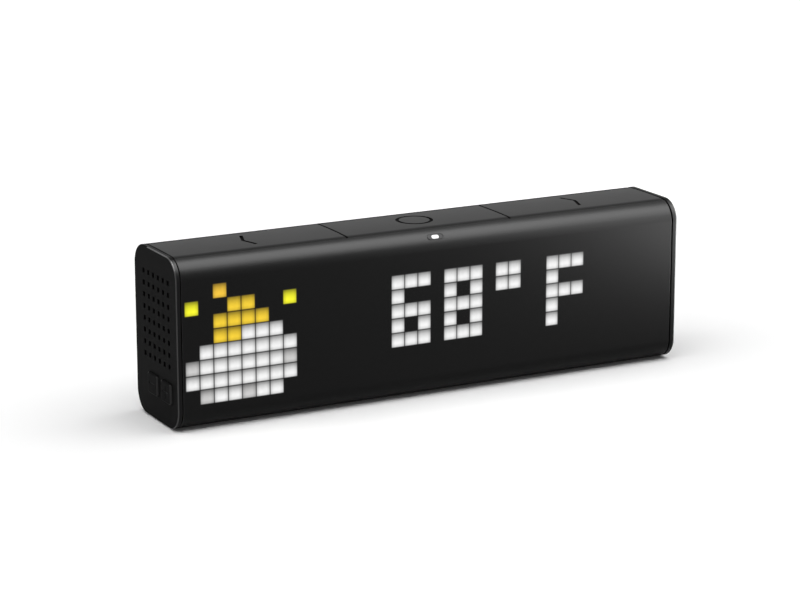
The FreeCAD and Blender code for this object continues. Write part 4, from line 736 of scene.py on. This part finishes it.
@dataclass
class Shell:
    """The front cover or the rear housing: a bent sheet along the case."""

    node: str
    slot: str
    front: bool
    foot_line: float = 7.0
    foot_half: Point = (75.05, 2.35)
    foot_top: float = 1.0

    def section(self) -> Loop:
        """Returns the section of the sheet as a closed (Y, Z) loop."""
        c = CASE
        cut_at = c.strip + c.seam / 2
        inner = c.radius - c.wall
        reach = c.rear - c.radius
        up, down = c.top - c.radius, c.low + c.radius
        outer_start = math.degrees(math.acos((cut_at - reach) / c.radius))
        inner_start = math.degrees(math.acos((cut_at - reach) / inner))
        end = -c.wrap if self.front else c.wrap + c.joint
        outside = arc((reach, up), c.radius, outer_start, 0.0, 22)
        outside += arc((reach, down), c.radius, 0.0, -90.0, 22)
        outside.append((end, c.low))
        inside = [(end, c.low + c.wall)]
        inside += arc((reach, down), inner, -90.0, 0.0, 18)
        inside += arc((reach, up), inner, 0.0, inner_start, 18)
        loop = softened(outside + inside, CASE.edge)
        sign = -1.0 if self.front else 1.0
        return [(sign * y, z) for y, z in loop]

    def build(self, wardrobe: Wardrobe) -> bpy.types.Object:
        """Builds the sheet with its small openings.

        Args:
            wardrobe: The finishes by slot name.

        Returns:
            The piece.
        """
        finish = wardrobe.get(self.slot)
        stations = rim(CASE.left, CASE.end_edge, -1.0) + rim(CASE.right, CASE.end_edge, 1.0)
        piece = lofted(f"{self.node}_shell", along_x(self.section(), stations), finish)
        if self.front:
            # painted highlight: the cover's end faces get the lighter, shinier copy, so a bright
            # line shows beside each seam
            edges = wardrobe.get("edge_gloss")
            coat(piece, edges, lambda face: abs(face.normal.x) > LEANING)
        cut(piece, *self.tools(finish))
        baked(piece)
        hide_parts(self.node)
        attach(piece, "clock")
        LOG.info("built %s", piece.name)
        return piece

    def tools(self, finish: bpy.types.Material) -> list[bpy.types.Object]:
        """Returns the shapes that are cut out of the sheet.

        Args:
            finish: Material of the cut faces.

        Returns:
            The cutting shapes.
        """
        line = -self.foot_line if self.front else self.foot_line
        length, width = self.foot_half
        foot = box_loop((line - width, 0.0), (line + width, self.foot_top), 0.05, 2)
        ends = [Station(-length, 0.0), Station(length, 0.0)]
        tools = [lofted("foot_recess", along_x(foot, ends), finish)]
        if self.front:
            tools.append(SensorWindow().cutter(finish))
        else:
            tools += Inlet().cutters(finish)
        return tools


@dataclass
class SensorWindow:
    """The smoked pane on the front's upper round, with a small pale lens in it."""

    angle: float = 40.0
    length: float = 6.4
    width: float = 2.2
    gap: float = 0.05
    lens_length: float = 2.9
    lens_width: float = 1.5
    widest_corner: float = 1.09
    opening: Point = (-3.0, 1.0)
    pane_levels: tuple[Point, ...] = ((0.0, -1.9), (0.0, -0.06), (0.08, -0.01), (0.5, -0.01))
    lens_levels: tuple[Point, ...] = ((0.0, -0.5), (0.0, -0.01), (0.06, 0.03), (0.4, 0.03))

    def place(self, across: float, up: float, out: float) -> Vector:
        """Returns a point on the turned plane of the window.

        Args:
            across: Distance along the case.
            up: Distance up the slope.
            out: Distance out of the case's surface.

        Returns:
            The point.
        """
        turn = math.radians(self.angle)
        outward = Vector((0.0, -math.cos(turn), math.sin(turn)))
        slope = Vector((0.0, math.sin(turn), math.cos(turn)))
        centre = Vector((0.0, CASE.front + CASE.radius, CASE.top - CASE.radius))
        surface = centre + outward * CASE.radius
        return surface + Vector((across, 0.0, 0.0)) + slope * up + outward * out

    def cutter(self, finish: bpy.types.Material) -> bpy.types.Object:
        """Returns the shape of the window's opening in the front cover."""
        long, wide = self.length / 2 + self.gap, self.width / 2 + self.gap
        loop = box_loop((-long, -wide), (long, wide), wide - SLIVER)
        rings = [[self.place(x, u, out) for x, u in loop] for out in self.opening]
        return lofted("window_opening", rings, finish)

    def pane(
        self, name: str, size: Point, levels: tuple[Point, ...], finish: bpy.types.Material
    ) -> bpy.types.Object:
        """Builds a rounded plate, bent like the round that it sits in.

        Args:
            name: Name of the plate.
            size: Its length and width.
            levels: Each loop's inset and its height over the case's surface.
            finish: Its material.

        Returns:
            The plate.
        """
        half_length, half_width = size[0] / 2, size[1] / 2
        radius = min(half_width, self.widest_corner) - SLIVER
        loop = box_loop((-half_length, -half_width), (half_length, half_width), radius)
        rings = [
            [
                self.place(x, u, out - u * u / (2 * CASE.radius))
                for x, u in drawn_in(loop, inset)
            ]
            for inset, out in levels
        ]
        return baked(lofted(name, rings, finish))

    def build(self, wardrobe: Wardrobe) -> list[bpy.types.Object]:
        """Builds the pane and its lens.

        Args:
            wardrobe: The finishes by slot name.

        Returns:
            The pane and the lens.
        """
        smoke, pale = wardrobe.get("window_smoke"), wardrobe.get("window_plastic")
        size = (self.length, self.width)
        pane = self.pane("sensor_window_pane", size, self.pane_levels, smoke)
        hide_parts("sensor_window")
        size = (self.lens_length, self.lens_width)
        lens = self.pane("sensor_lens", size, self.lens_levels, pale)
        for piece in (pane, lens):
            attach(piece, "clock")
            LOG.info("built %s", piece.name)
        return [pane, lens]


@dataclass
class Inlet:
    """The opening for the power plug in the rear housing."""

    height: float = 14.0
    width: float = 7.6
    tall: float = 2.6
    margin: float = 0.4
    corner: float = 0.8
    inner_end: float = 14.0
    recess: float = 1.8
    depth: float = 1.0
    bevel: float = 0.15
    past: float = 0.5

    def cutters(self, finish: bpy.types.Material) -> list[bpy.types.Object]:
        """Returns the shapes of the opening and of the recess around it.

        Args:
            finish: Material of the cut faces.

        Returns:
            The cutting shapes.
        """
        shapes = []
        for name, margin, near in (
            ("inlet_opening", self.margin, self.inner_end),
            ("inlet_recess", self.recess, CASE.rear - self.depth),
        ):
            half, tall = self.width / 2 + margin, self.tall / 2 + margin
            radius = min(half, tall) - SLIVER if name == "inlet_recess" else self.corner
            loop = box_loop((-half, self.height - tall), (half, self.height + tall), radius)
            levels = (
                (near, 0.0),
                (CASE.rear - self.bevel, 0.0),
                (CASE.rear + self.past, -self.bevel - self.past),
            )
            rings = [
                [Vector((x, y, z)) for x, z in drawn_in(loop, inset)] for y, inset in levels
            ]
            shapes.append(lofted(name, rings, finish))
        return shapes


@dataclass(frozen=True)
class KeySize:
    """Sizes that the end keys and their holes share, in millimetres."""

    low: float = 9.1
    width: float = 8.3
    height: float = 7.9
    corner: float = 1.15
    steps: int = 4

    def outline(self, start: float, gap: float = 0.0) -> Loop:
        """Returns the outline of a key or of its hole.

        Args:
            start: Where the key starts along Y.
            gap: How far outside the key the outline lies.

        Returns:
            The closed outline as (Y, Z) points.
        """
        return box_loop(
            (start - gap, self.low - gap),
            (start + self.width + gap, self.low + self.height + gap),
            self.corner + gap,
            self.steps,
        )


KEY = KeySize()


@dataclass
class EndCap:
    """An end of the case with its grille and its key holes."""

    side: Side
    keys: tuple[float, ...]
    inner: float
    outer: float
    columns: int = 6
    rows: int = 8
    pitch: float = 4.214
    hole: float = 1.7
    hole_corner: float = 0.12
    hole_middle: float = 0.75
    hole_ends: tuple[Point, ...] = ((-2.0, 0.0), (0.65, 0.0), (1.2, -0.4))
    first_hole: float = -11.42
    top_hole: float = 52.03
    key_gap: float = 0.12
    key_hole: Point = (97.0, 101.5)
    plug_end: float = 95.9
    plug_inset: float = 0.9
    hollow_inset: float = 3.0
    hollow_floor: float = 0.2
    start_bevel: float = 0.12
    band_start: float = 0.02
    rim_radius: float = 0.5
    rim_reach: float = 0.6
    # where the painted shade on the rear part of the rim starts, along Y
    fade: float = 6.5
    upright: float = 0.1
    flat: float = 0.8
    rearward: float = 0.12
    level: float = 0.93

    def x(self, distance: float) -> float:
        """Returns the X of a distance from the middle at this end."""
        return self.side.value * distance

    def build(self, wardrobe: Wardrobe) -> bpy.types.Object:
        """Builds the cap.

        Args:
            wardrobe: The finishes by slot name.

        Returns:
            The piece.
        """
        finish = wardrobe.get("cap_texture")
        stations = [
            Station(self.inner - self.hollow_floor, self.hollow_inset),
            Station(self.plug_end, self.hollow_inset),
            Station(self.plug_end, self.plug_inset),
            Station(self.inner, self.plug_inset),
            Station(self.inner, self.start_bevel),
            Station(self.inner + self.start_bevel, 0.0),
            *rim(self.outer, self.rim_radius, 1.0, 6),
        ]
        rings = [
            [Vector((self.x(s.along), y, z)) for y, z in self.outline(s.inset)]
            for s in stations
        ]
        piece = lofted(f"{self.side.word}_cap", rings, finish)
        # painted highlight: the rounded rim gets a lighter, shinier copy of the cap plastic
        coat(piece, wardrobe.get("cap_rim"), self.on_rim)
        # painted highlight and sheen: the band round the cap gets a finish by the way its faces
        # point; its sides take the front cover's gloss, its top its own copy of the cap plastic
        coat(piece, wardrobe.get("front_gloss"), self.on_side)
        coat(piece, wardrobe.get("cap_band"), self.on_top)
        # painted shade: the rear of the rim gets the near-black matte finish, so that its
        # highlight ends towards the back
        coat(piece, wardrobe.get("groove_black"), self.on_rear_rim)
        cut(piece, self.grille(finish), *self.key_holes(finish))
        baked(piece)
        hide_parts(f"{self.side.word}_end_cap")
        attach(piece, "clock")
        LOG.info("built %s", piece.name)
        return piece

    def outline(self, inset: float) -> Loop:
        """Returns the case's outline with one more point on its top, where the rim's painted shade
        starts.

        Args:
            inset: How far it is drawn in.

        Returns:
            The closed loop.
        """
        plain = CASE.outline(inset)
        top = CASE.top - inset - SLIVER
        loop = []
        for here, after in zip(plain, plain[1:] + plain[:1]):
            loop.append(here)
            if min(here[1], after[1]) > top and here[0] > self.fade > after[0]:
                loop.append((self.fade, here[1]))
        return loop

    def on_rim(self, face: bpy.types.MeshPolygon) -> bool:
        """Tells whether a face is part of the rounded edge of the cap's end."""
        beyond = abs(face.center.x) > (self.outer - self.rim_reach) * MM
        return beyond and self.upright < abs(face.normal.x) < self.flat

    def on_rear_rim(self, face: bpy.types.MeshPolygon) -> bool:
        """Tells whether a face is on the rear part of the cap's rounded edge, which gets painted
        shade in place of the rim's painted highlight.
        """
        behind = face.normal.y > self.rearward or face.center.y > self.fade * MM
        return self.on_rim(face) and behind

    def on_band(self, face: bpy.types.MeshPolygon) -> bool:
        """Tells whether a face is past the case's end and not on the rounded edge."""
        beyond = abs(face.center.x) > (self.inner + self.band_start) * MM
        return beyond and not self.on_rim(face)

    def on_top(self, face: bpy.types.MeshPolygon) -> bool:
        """Tells whether a face is on the top of the band round the cap, which gets a painted
        sheen.
        """
        return self.on_band(face) and face.normal.z > self.level

    def on_side(self, face: bpy.types.MeshPolygon) -> bool:
        """Tells whether a face is on the band round the cap, but not on top; these faces get the
        front's gloss as a painted highlight.
        """
        aside = abs(face.normal.x) < self.flat and face.normal.z < self.level
        return self.on_band(face) and aside

    def grille(self, finish: bpy.types.Material) -> bpy.types.Object:
        """Returns the holes of the grille as one cutting shape.

        Args:
            finish: Material of the cut faces.

        Returns:
            The cutting shape.
        """
        tree = NodeTree(
            "grille_holes",
            {
                "Columns": "Int",
                "Rows": "Int",
                "Width": "Float",
                "Height": "Float",
                "Place": "Vector",
                "Finish": "Material",
            },
        )
        given = tree.given
        grid = tree.node(
            "GeometryNodeMeshGrid",
            {
                "Size X": given["Width"],
                "Size Y": given["Height"],
                "Vertices X": given["Columns"],
                "Vertices Y": given["Rows"],
            },
        )
        move = tree.node(
            "GeometryNodeTransform",
            {
                "Geometry": grid.outputs["Mesh"],
                "Rotation": (math.pi / 2, 0.0, math.pi / 2),
                "Translation": given["Place"],
            },
        )
        put = tree.node(
            "GeometryNodeInstanceOnPoints",
            {"Points": move.outputs["Geometry"], "Instance": given["Geometry"]},
        )
        tree.finish(put.outputs["Instances"])
        half = self.hole / 2
        square = box_loop((-half, -half), (half, half), self.hole_corner, 2)
        ends = [Station(along, inset) for along, inset in self.hole_ends]
        hole = lofted("grille_hole", along_x(square, ends, self.side.value), finish)
        width = (self.columns - 1) * self.pitch
        height = (self.rows - 1) * self.pitch
        middle = (self.first_hole + width / 2, self.top_hole - height / 2)
        place = Vector((self.x(self.outer - self.hole_middle), *middle))
        values = {
            "Columns": self.columns,
            "Rows": self.rows,
            "Width": width * MM,
            "Height": height * MM,
            "Place": place * MM,
            "Finish": finish,
        }
        return tree.bake("grille_cutter", hole, values)

    def key_holes(self, finish: bpy.types.Material) -> list[bpy.types.Object]:
        """Returns the shapes of the key holes.

        Args:
            finish: Material of the cut faces.

        Returns:
            The cutting shapes.
        """
        ends = [Station(along, 0.0) for along in self.key_hole]
        loops = [KEY.outline(start, self.key_gap) for start in self.keys]
        return [
            lofted("key_hole", along_x(loop, ends, self.side.value), finish)
            for loop in loops
        ]


@dataclass
class Engraving:
    """Strokes that are cut into a face as round grooves."""

    width: float = 1.25
    sides: int = 12

    def strokes(self, sign: Sign) -> list[tuple[Loop, bool]]:
        """Returns the strokes of a sign.

        Args:
            sign: Which sign.

        Returns:
            Each stroke as its points, and whether it is closed.
        """
        table: dict[Sign, list[tuple[Loop, bool]]] = {
            Sign.RING: [(arc((0.0, 0.0), 6.15, 0.0, 355.0, 71), True)],
            Sign.LEFT_ARROW: [([(2.4, 6.9), (0.0, 0.0), (2.1, -6.6)], False)],
            Sign.RIGHT_ARROW: [([(-2.4, 6.5), (0.0, 0.0), (-2.4, -7.4)], False)],
            Sign.PLUS: [
                ([(-2.4, 0.0), (2.4, 0.0)], False),
                ([(0.0, -2.4), (0.0, 2.4)], False),
            ],
            Sign.MINUS: [([(-2.4, 0.0), (2.4, 0.0)], False)],
            Sign.POWER: [
                (arc((0.0, 0.0), 2.0, 125.0, 415.0, 24), False),
                ([(0.0, 0.4), (0.0, 2.9)], False),
            ],
        }
        return table[sign]

    def tools(
        self, sign: Sign, place: Vector, axes: tuple[str, str], finish: bpy.types.Material
    ) -> list[bpy.types.Object]:
        """Builds a cutting shape for each stroke.

        Args:
            sign: Which sign.
            place: Middle of the sign.
            axes: Names of the axes along the sign's width and its height.
            finish: Material of the groove.

        Returns:
            The cutting shapes.
        """
        across, up = (Vector([float(axis == one) for one in "XYZ"]) for axis in axes)
        tree = NodeTree("groove", {"Radius": "Float", "Finish": "Material"})
        path = tree.node("GeometryNodeMeshToCurve", {"Mesh": tree.given["Geometry"]})
        section = tree.node(
            "GeometryNodeCurvePrimitiveCircle",
            {"Resolution": self.sides, "Radius": tree.given["Radius"]},
            mode="RADIUS",
        )
        skin = tree.node(
            "GeometryNodeCurveToMesh",
            {
                "Curve": path.outputs["Curve"],
                "Profile Curve": section.outputs["Curve"],
                "Fill Caps": True,
            },
        )
        tree.finish(skin.outputs["Mesh"])
        values = {"Radius": self.width / 2 * MM, "Finish": finish}
        tools = []
        for points, closed in self.strokes(sign):
            mesh = bpy.data.meshes.new("stroke")
            verts = [(place + across * a + up * b) * MM for a, b in points]
            edges = [(i, i + 1) for i in range(len(verts) - 1)]
            if closed:
                edges.append((len(verts) - 1, 0))
            mesh.from_pydata(verts, edges, [])
            tools.append(tree.bake("groove_tool", new_object("stroke", mesh), values))
        return tools


@dataclass
class TopButton:
    """One of the three press buttons along the top."""

    word: str
    low: float
    high: float
    sign: Sign
    sign_place: Point
    half: float = 12.4
    bottom: float = 57.7
    edge: float = 0.12
    end_edge: float = 0.3
    crown: float = 0.134
    sign_rise: float = 0.05
    rear_edge: float = 10.25

    def section(self) -> Loop:
        """Returns the section across the case as a closed (Y, Z) loop."""
        reach = CASE.rear - CASE.radius
        start = math.degrees(math.acos((self.half - reach) / CASE.radius))
        up = CASE.top - CASE.radius
        quarter = arc((reach, up), CASE.radius, start, 90.0, 8)
        quarter += [(reach * share, CASE.top) for share in (0.8, 0.6, 0.4, 0.2)]
        flat = quarter + [(0.0, CASE.top)] + [(-y, z) for y, z in quarter[::-1]]
        loop = [(y, z + self.crown * (0.5 - (y / reach) ** 2)) for y, z in flat]
        loop += [(-self.half, self.bottom), (self.half, self.bottom)]
        return softened(loop, self.edge)

    def build(self, wardrobe: Wardrobe) -> bpy.types.Object:
        """Builds the button with its sign.

        Args:
            wardrobe: The finishes by slot name.

        Returns:
            The piece.
        """
        finish = wardrobe.get("button_plastic")
        stations = rim(self.low, self.end_edge, -1.0) + rim(self.high, self.end_edge, 1.0)
        piece = lofted(f"{self.word}_press", along_x(self.section(), stations), finish)
        rear = self.rear_edge * MM
        # painted shade: the rear edge gets the duller copy, so it shows less of the lamps'
        # reflection
        coat(piece, wardrobe.get("button_edge"), lambda face: face.center.y > rear)
        place = Vector((*self.sign_place, CASE.top + self.sign_rise))
        # painted shade: the engraved grooves get a near-black matte finish that darkens them
        groove_finish = wardrobe.get("groove_black")
        cut(piece, *Engraving().tools(self.sign, place, ("X", "Y"), groove_finish))
        baked(piece)
        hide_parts(f"{self.word}_button")
        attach(piece, f"{self.word}_button_body")
        LOG.info("built %s", piece.name)
        return piece


@dataclass
class EndKey:
    """A square key in an end cap."""

    node: str
    body: str
    side: Side
    start: float
    sign: Sign
    face: float = 101.3
    back: float = 98.3
    edge: float = 0.85
    sign_rise: float = 0.12
    sign_width: float = 0.8

    def build(self, wardrobe: Wardrobe) -> bpy.types.Object:
        """Builds the key with its sign.

        Args:
            wardrobe: The finishes by slot name.

        Returns:
            The piece.
        """
        stations = [Station(self.back, 0.0)] + rim(self.face, self.edge, 1.0)
        rings = along_x(KEY.outline(self.start), stations, self.side.value)
        piece = lofted(f"{self.node}_cap", rings, wardrobe.get("key_plastic"))
        # painted highlight: the key's upright sides get the lighter, shinier copy
        coat(piece, wardrobe.get("key_wall"), self.on_wall)
        middle = (self.start + KEY.width / 2, KEY.low + KEY.height / 2)
        place = Vector((self.side.value * (self.face + self.sign_rise), *middle))
        groove_finish = wardrobe.get("sign_grey")
        cut(piece, *Engraving(self.sign_width).tools(self.sign, place, ("Y", "Z"), groove_finish))
        baked(piece)
        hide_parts(self.node)
        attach(piece, self.body)
        LOG.info("built %s", piece.name)
        return piece

    def on_wall(self, face: bpy.types.MeshPolygon) -> bool:
        """Tells whether a face is on an upright side of the key."""
        return abs(face.normal.y) > LEANING and abs(face.normal.z) < 0.5


class Glow(Enum):
    """Colours of the lit cells."""

    WHITE = (1.0, 1.0, 1.0)
    GREY = (0.66, 0.655, 0.65)
    GOLD = (1.02, 0.7, 0.042)
    ORANGE = (1.02, 0.63, 0.055)
    LIME = (1.07, 1.05, 0.03)


@dataclass
class PixelField:
    """The lit cells of the front: numbers, a degree sign and a weather picture."""

    pitch: float = 5.267
    columns: int = 37
    rows: int = 8
    share: float = 0.995
    back: float = 0.2
    thin: float = 0.03
    slope: float = 0.1
    picture: tuple[str, ...] = (
        "..o.....",
        "l..gg..l",
        "..gggg..",
        "..ggwww.",
        ".wwwwwww",
        "swwwwwws",
        "wwwwwwww",
        ".swwsww.",
    )
    six: tuple[str, ...] = ("www", "w..", "www", "w.w", "www")
    eight: tuple[str, ...] = ("www", "w.w", "www", "w.w", "www")
    degree: tuple[str, ...] = ("ww", "ww")
    letter: tuple[str, ...] = ("www", "w..", "www", "w..", "w..")

    def cells(self) -> list[tuple[int, int, Glow]]:
        """Returns every lit cell as its column, its row and its colour."""
        colours = {
            "w": Glow.WHITE,
            "s": Glow.GREY,
            "g": Glow.GOLD,
            "o": Glow.ORANGE,
            "l": Glow.LIME,
        }
        lit = []
        for column, row, shape in (
            (0, 0, self.picture),
            (15, 1, self.six),
            (19, 1, self.eight),
            (23, 1, self.degree),
            (27, 1, self.letter),
        ):
            for down, line in enumerate(shape):
                for right, mark in enumerate(line):
                    if mark in colours:
                        lit.append((column + right, row + down, colours[mark]))
        return lit

    def tile(self) -> bpy.types.Object:
        """Returns one cell of light as a thin plate with its own UV map."""
        half = self.pitch * self.share / 2
        verts = []
        for inset, out in ((0.0, self.back), (0.0, 0.0), (self.slope, -self.thin)):
            reach = half - inset
            for x, z in ((-1, -1), (1, -1), (1, 1), (-1, 1)):
                verts.append(Vector((x * reach, out, z * reach)) * MM)
        faces = [(3, 2, 1, 0), (8, 9, 10, 11)]
        for ring in (0, 4):
            for i in range(4):
                j = (i + 1) % 4
                faces.append((ring + i, ring + j, ring + j + 4, ring + i + 4))
        mesh = bpy.data.meshes.new("tile")
        mesh.from_pydata(verts, [], faces)
        layer = mesh.uv_layers.new(name="cell")
        for loop in mesh.loops:
            place = mesh.vertices[loop.vertex_index].co / (half * MM)
            layer.data[loop.index].uv = (place.x, place.z)
        work = bmesh.new()
        work.from_mesh(mesh)
        bmesh.ops.recalc_face_normals(work, faces=work.faces)
        work.to_mesh(mesh)
        work.free()
        return new_object("tile", mesh)

    def build(self, wardrobe: Wardrobe) -> bpy.types.Object:
        """Builds the lit cells.

        Args:
            wardrobe: The finishes by slot name.

        Returns:
            The piece.
        """
        verts, tints = [], []
        for column, row, colour in self.cells():
            x = (column + 0.5 - self.columns / 2) * self.pitch
            z = CASE.middle + (self.rows / 2 - row - 0.5) * self.pitch
            verts.append(Vector((x, CASE.front, z)) * MM)
            tints += [*colour.value, 1.0]
        mesh = bpy.data.meshes.new("lit_places")
        mesh.from_pydata(verts, [], [])
        layer = mesh.attributes.new("glow", "FLOAT_COLOR", "POINT")
        layer.data.foreach_set("color", tints)
        places = new_object("lit_places", mesh)
        tree = NodeTree("lit_cells", {"Tile": "Object", "Finish": "Material"})
        info = tree.node("GeometryNodeObjectInfo", {"Object": tree.given["Tile"]})
        put = tree.node(
            "GeometryNodeInstanceOnPoints",
            {"Points": tree.given["Geometry"], "Instance": info.outputs["Geometry"]},
        )
        tree.finish(put.outputs["Instances"])
        tile = self.tile()
        values = {"Tile": tile, "Finish": wardrobe.get("lit_front")}
        piece = tree.bake("lit_cells", places, values)
        bpy.data.objects.remove(tile)
        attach(piece, "clock")
        LOG.info("built %s", piece.name)
        return piece


@dataclass(frozen=True)
class LitFinish:
    """The front's black sheet where light shines through it.

    The light fades to a faint rest over the walls between the cells, and is
    weaker towards a cell's top.
    """

    name: str = "lit_front"
    soft: Ramp = ((0.4, 0.95), (1.0, 0.75))
    wall: Ramp = ((0.84, 0.98), (1.0, 0.19))
    top: Ramp = ((1.2, -0.45), (0.33, 0.95))
    speckle: Ramp = ((0.25, 0.75), (0.94, 1.0))
    speckle_scale: float = 700.0

    def make(self) -> bpy.types.Material:
        """Builds the material.

        Returns:
            The finished node material.
        """
        material = FINISHES["front_gloss"].make()
        material.name = self.name
        wiring = Wiring(material.node_tree)
        glow = wiring.node("ShaderNodeAttribute", attribute_name="glow")
        cell = wiring.node("ShaderNodeUVMap", uv_map="cell").outputs["UV"]
        parts = wiring.node("ShaderNodeSeparateXYZ", {"Vector": cell}).outputs
        place = wiring.node("ShaderNodeTexCoord").outputs["Object"]
        grain = wiring.node(
            "ShaderNodeTexNoise", {"Scale": self.speckle_scale, "Vector": place}
        )
        shares = []
        for way in ("X", "Y"):
            off_middle = wiring.worked_out("ABSOLUTE", parts[way])
            shares += [wiring.ramp(off_middle, *step) for step in (self.soft, self.wall)]
        shares.append(wiring.ramp(parts["Y"], *self.top))
        shares.append(wiring.ramp(grain.outputs["Fac"], *self.speckle))
        wiring.feed(
            wiring.tree.nodes["Principled BSDF"],
            {
                "Emission Color": glow.outputs["Color"],
                "Emission Strength": wiring.joined("MULTIPLY", shares),
            },
        )
        return material


@dataclass
class Viewpoint:
    """The camera, at the photograph's place, direction and field."""

    place: Place = (-0.44455, -0.82872, 0.27554)
    forward: Place = (0.45315, 0.85528, -0.25129)
    up: Place = (0.11781, 0.22196, 0.96791)
    lens: float = 121.19
    sensor: float = 36.0
    sight: Point = (0.01, 100.0)

    def build(self) -> None:
        """Makes the camera and gives it to the scene."""
        lens = bpy.data.cameras.new("camera")
        lens.lens, lens.sensor_width = self.lens, self.sensor
        lens.clip_start, lens.clip_end = self.sight
        camera = new_object("camera", lens)
        ahead = Vector(self.forward).normalized()
        above = Vector(self.up).normalized()
        aside = ahead.cross(above).normalized()
        turn = Matrix((aside, above, -ahead)).transposed()
        camera.matrix_world = Matrix.Translation(self.place) @ turn.to_4x4()
        bpy.context.scene.camera = camera


@dataclass
class Lamp:
    """A soft panel of light. Its level is its brightness, where 1 is white."""

    name: str
    level: float
    size: Point
    place: Place
    aim: Place = (0.0, 0.0, 0.03)
    reflected_only: bool = True

    def build(self) -> None:
        """Makes the lamp and turns it towards its aim."""
        light = bpy.data.lights.new(self.name, "AREA")
        light.shape = "RECTANGLE"
        light.size, light.size_y = self.size
        light.energy = self.level * math.pi * self.size[0] * self.size[1]
        lamp = new_object(self.name, light)
        away = Vector(self.aim) - Vector(self.place)
        turn = away.to_track_quat("-Z", "Y").to_matrix().to_4x4()
        lamp.matrix_world = Matrix.Translation(self.place) @ turn
        lamp.visible_camera = False
        lamp.visible_diffuse = not self.reflected_only


@dataclass
class Studio:
    """The pale floor, the white surroundings and the lamps.

    The floor is lifted to white away from the clock, where the camera sees it.
    """

    reach: float = 6.0
    floor_colour: float = 0.97
    lift_reach: Point = (0.12, 0.45)
    lift: Point = (0.02, 0.25)
    sky: float = 0.12

    def build(self) -> None:
        """Makes the floor, the surroundings and the lamps."""
        self.floor()
        self.surroundings()
        for lamp in (
            Lamp("key", 2.04, (13.9, 6.0), (-0.03, -0.8, 4.9), reflected_only=False),
            Lamp("top_panel", 15.4, (0.794, 1.496), (0.443, -0.345, 1.085)),
            Lamp(
                "side_panel", 10.4, (0.26, 0.218), (0.325, -0.228, 0.1365),
                (0.09, -0.018, 0.04),
            ),
            Lamp(
                "low_panel", 18.0, (0.309, 0.25), (0.343, -0.156, 0.004),
                (0.343, -0.156, 1.0),
            ),
        ):
            lamp.build()
        bpy.context.scene.view_settings.view_transform = "Standard"

    def floor(self) -> None:
        """Makes the floor and its material."""
        mesh = bpy.data.meshes.new("floor")
        r = self.reach
        mesh.from_pydata(
            [(-r, -r, 0.0), (r, -r, 0.0), (r, r, 0.0), (-r, r, 0.0)], [], [(0, 1, 2, 3)]
        )
        floor = new_object("floor", mesh)
        material = new_material("pale_floor")
        wiring = Wiring(material.node_tree)
        place = wiring.node("ShaderNodeTexCoord").outputs["Object"]
        away = wiring.node("ShaderNodeVectorMath", {0: place}, operation="LENGTH")
        lift = wiring.ramp(away.outputs["Value"], self.lift_reach, self.lift)
        seen = wiring.seen_by("Camera", "Transmission")
        wiring.feed(
            wiring.tree.nodes["Principled BSDF"],
            {
                "Base Color": (*grey(self.floor_colour), 1.0),
                "Roughness": 1.0,
                "Specular IOR Level": 0.0,
                "Emission Color": WHITE,
                "Emission Strength": wiring.worked_out("MULTIPLY", seen, lift),
            },
        )
        mesh.materials.append(material)

    def surroundings(self) -> None:
        """Makes the world: white where it is seen or mirrored, softer as light."""
        world = bpy.data.worlds.new("surroundings")
        bpy.context.scene.world = world
        world.use_nodes = True
        wiring = Wiring(world.node_tree)
        seen = wiring.seen_by("Camera", "Glossy", "Transmission")
        level = wiring.ramp(seen, (0.0, 1.0), (self.sky, 1.0), "LINEAR")
        background = wiring.tree.nodes["Background"]
        wiring.feed(background, {"Color": WHITE, "Strength": level})


def dress(wardrobe: Wardrobe) -> None:
    """Gives every carried-over node the finish of its record slot.

    Args:
        wardrobe: The finishes by slot name.
    """
    slots = {row["node"]: row["material_slot"] for row in frame["record"]["subparts"]}
    for name, node in frame["nodes"].items():
        node.data.materials.clear()
        node.data.materials.append(wardrobe.get(slots[name]))
        LOG.info("dressed %s", name)


def main() -> None:
    """Builds the clock's looks, the camera and the studio."""
    logging.basicConfig(level=logging.INFO)
    wardrobe = Wardrobe({})
    Viewpoint().build()
    Studio().build()
    dress(wardrobe)
    Shell("front_cover", "front_gloss", True).build(wardrobe)
    Shell("rear_housing", "case_plastic", False).build(wardrobe)
    SensorWindow().build(wardrobe)
    EndCap(Side.LEFT, (-13.2, -1.5), 98.7, 100.5).build(wardrobe)
    EndCap(Side.RIGHT, (-1.5,), 99.2, 101.1).build(wardrobe)
    for button in (
        TopButton("left", -98.3, -33.05, Sign.LEFT_ARROW, (-67.4, -0.6)),
        TopButton("centre", -32.5, 32.5, Sign.RING, (0.2, -0.1)),
        TopButton("right", 33.05, 98.6, Sign.RIGHT_ARROW, (67.8, 0.4)),
    ):
        button.build(wardrobe)
    for key in (
        EndKey("volume_up_key", "volume_up_body", Side.LEFT, -13.2, Sign.PLUS),
        EndKey("volume_down_key", "volume_down_body", Side.LEFT, -1.5, Sign.MINUS),
        EndKey("power_key", "power_body", Side.RIGHT, -1.5, Sign.POWER),
    ):
        key.build(wardrobe)
    PixelField().build(wardrobe)


if __name__ == "__main__":
    main()
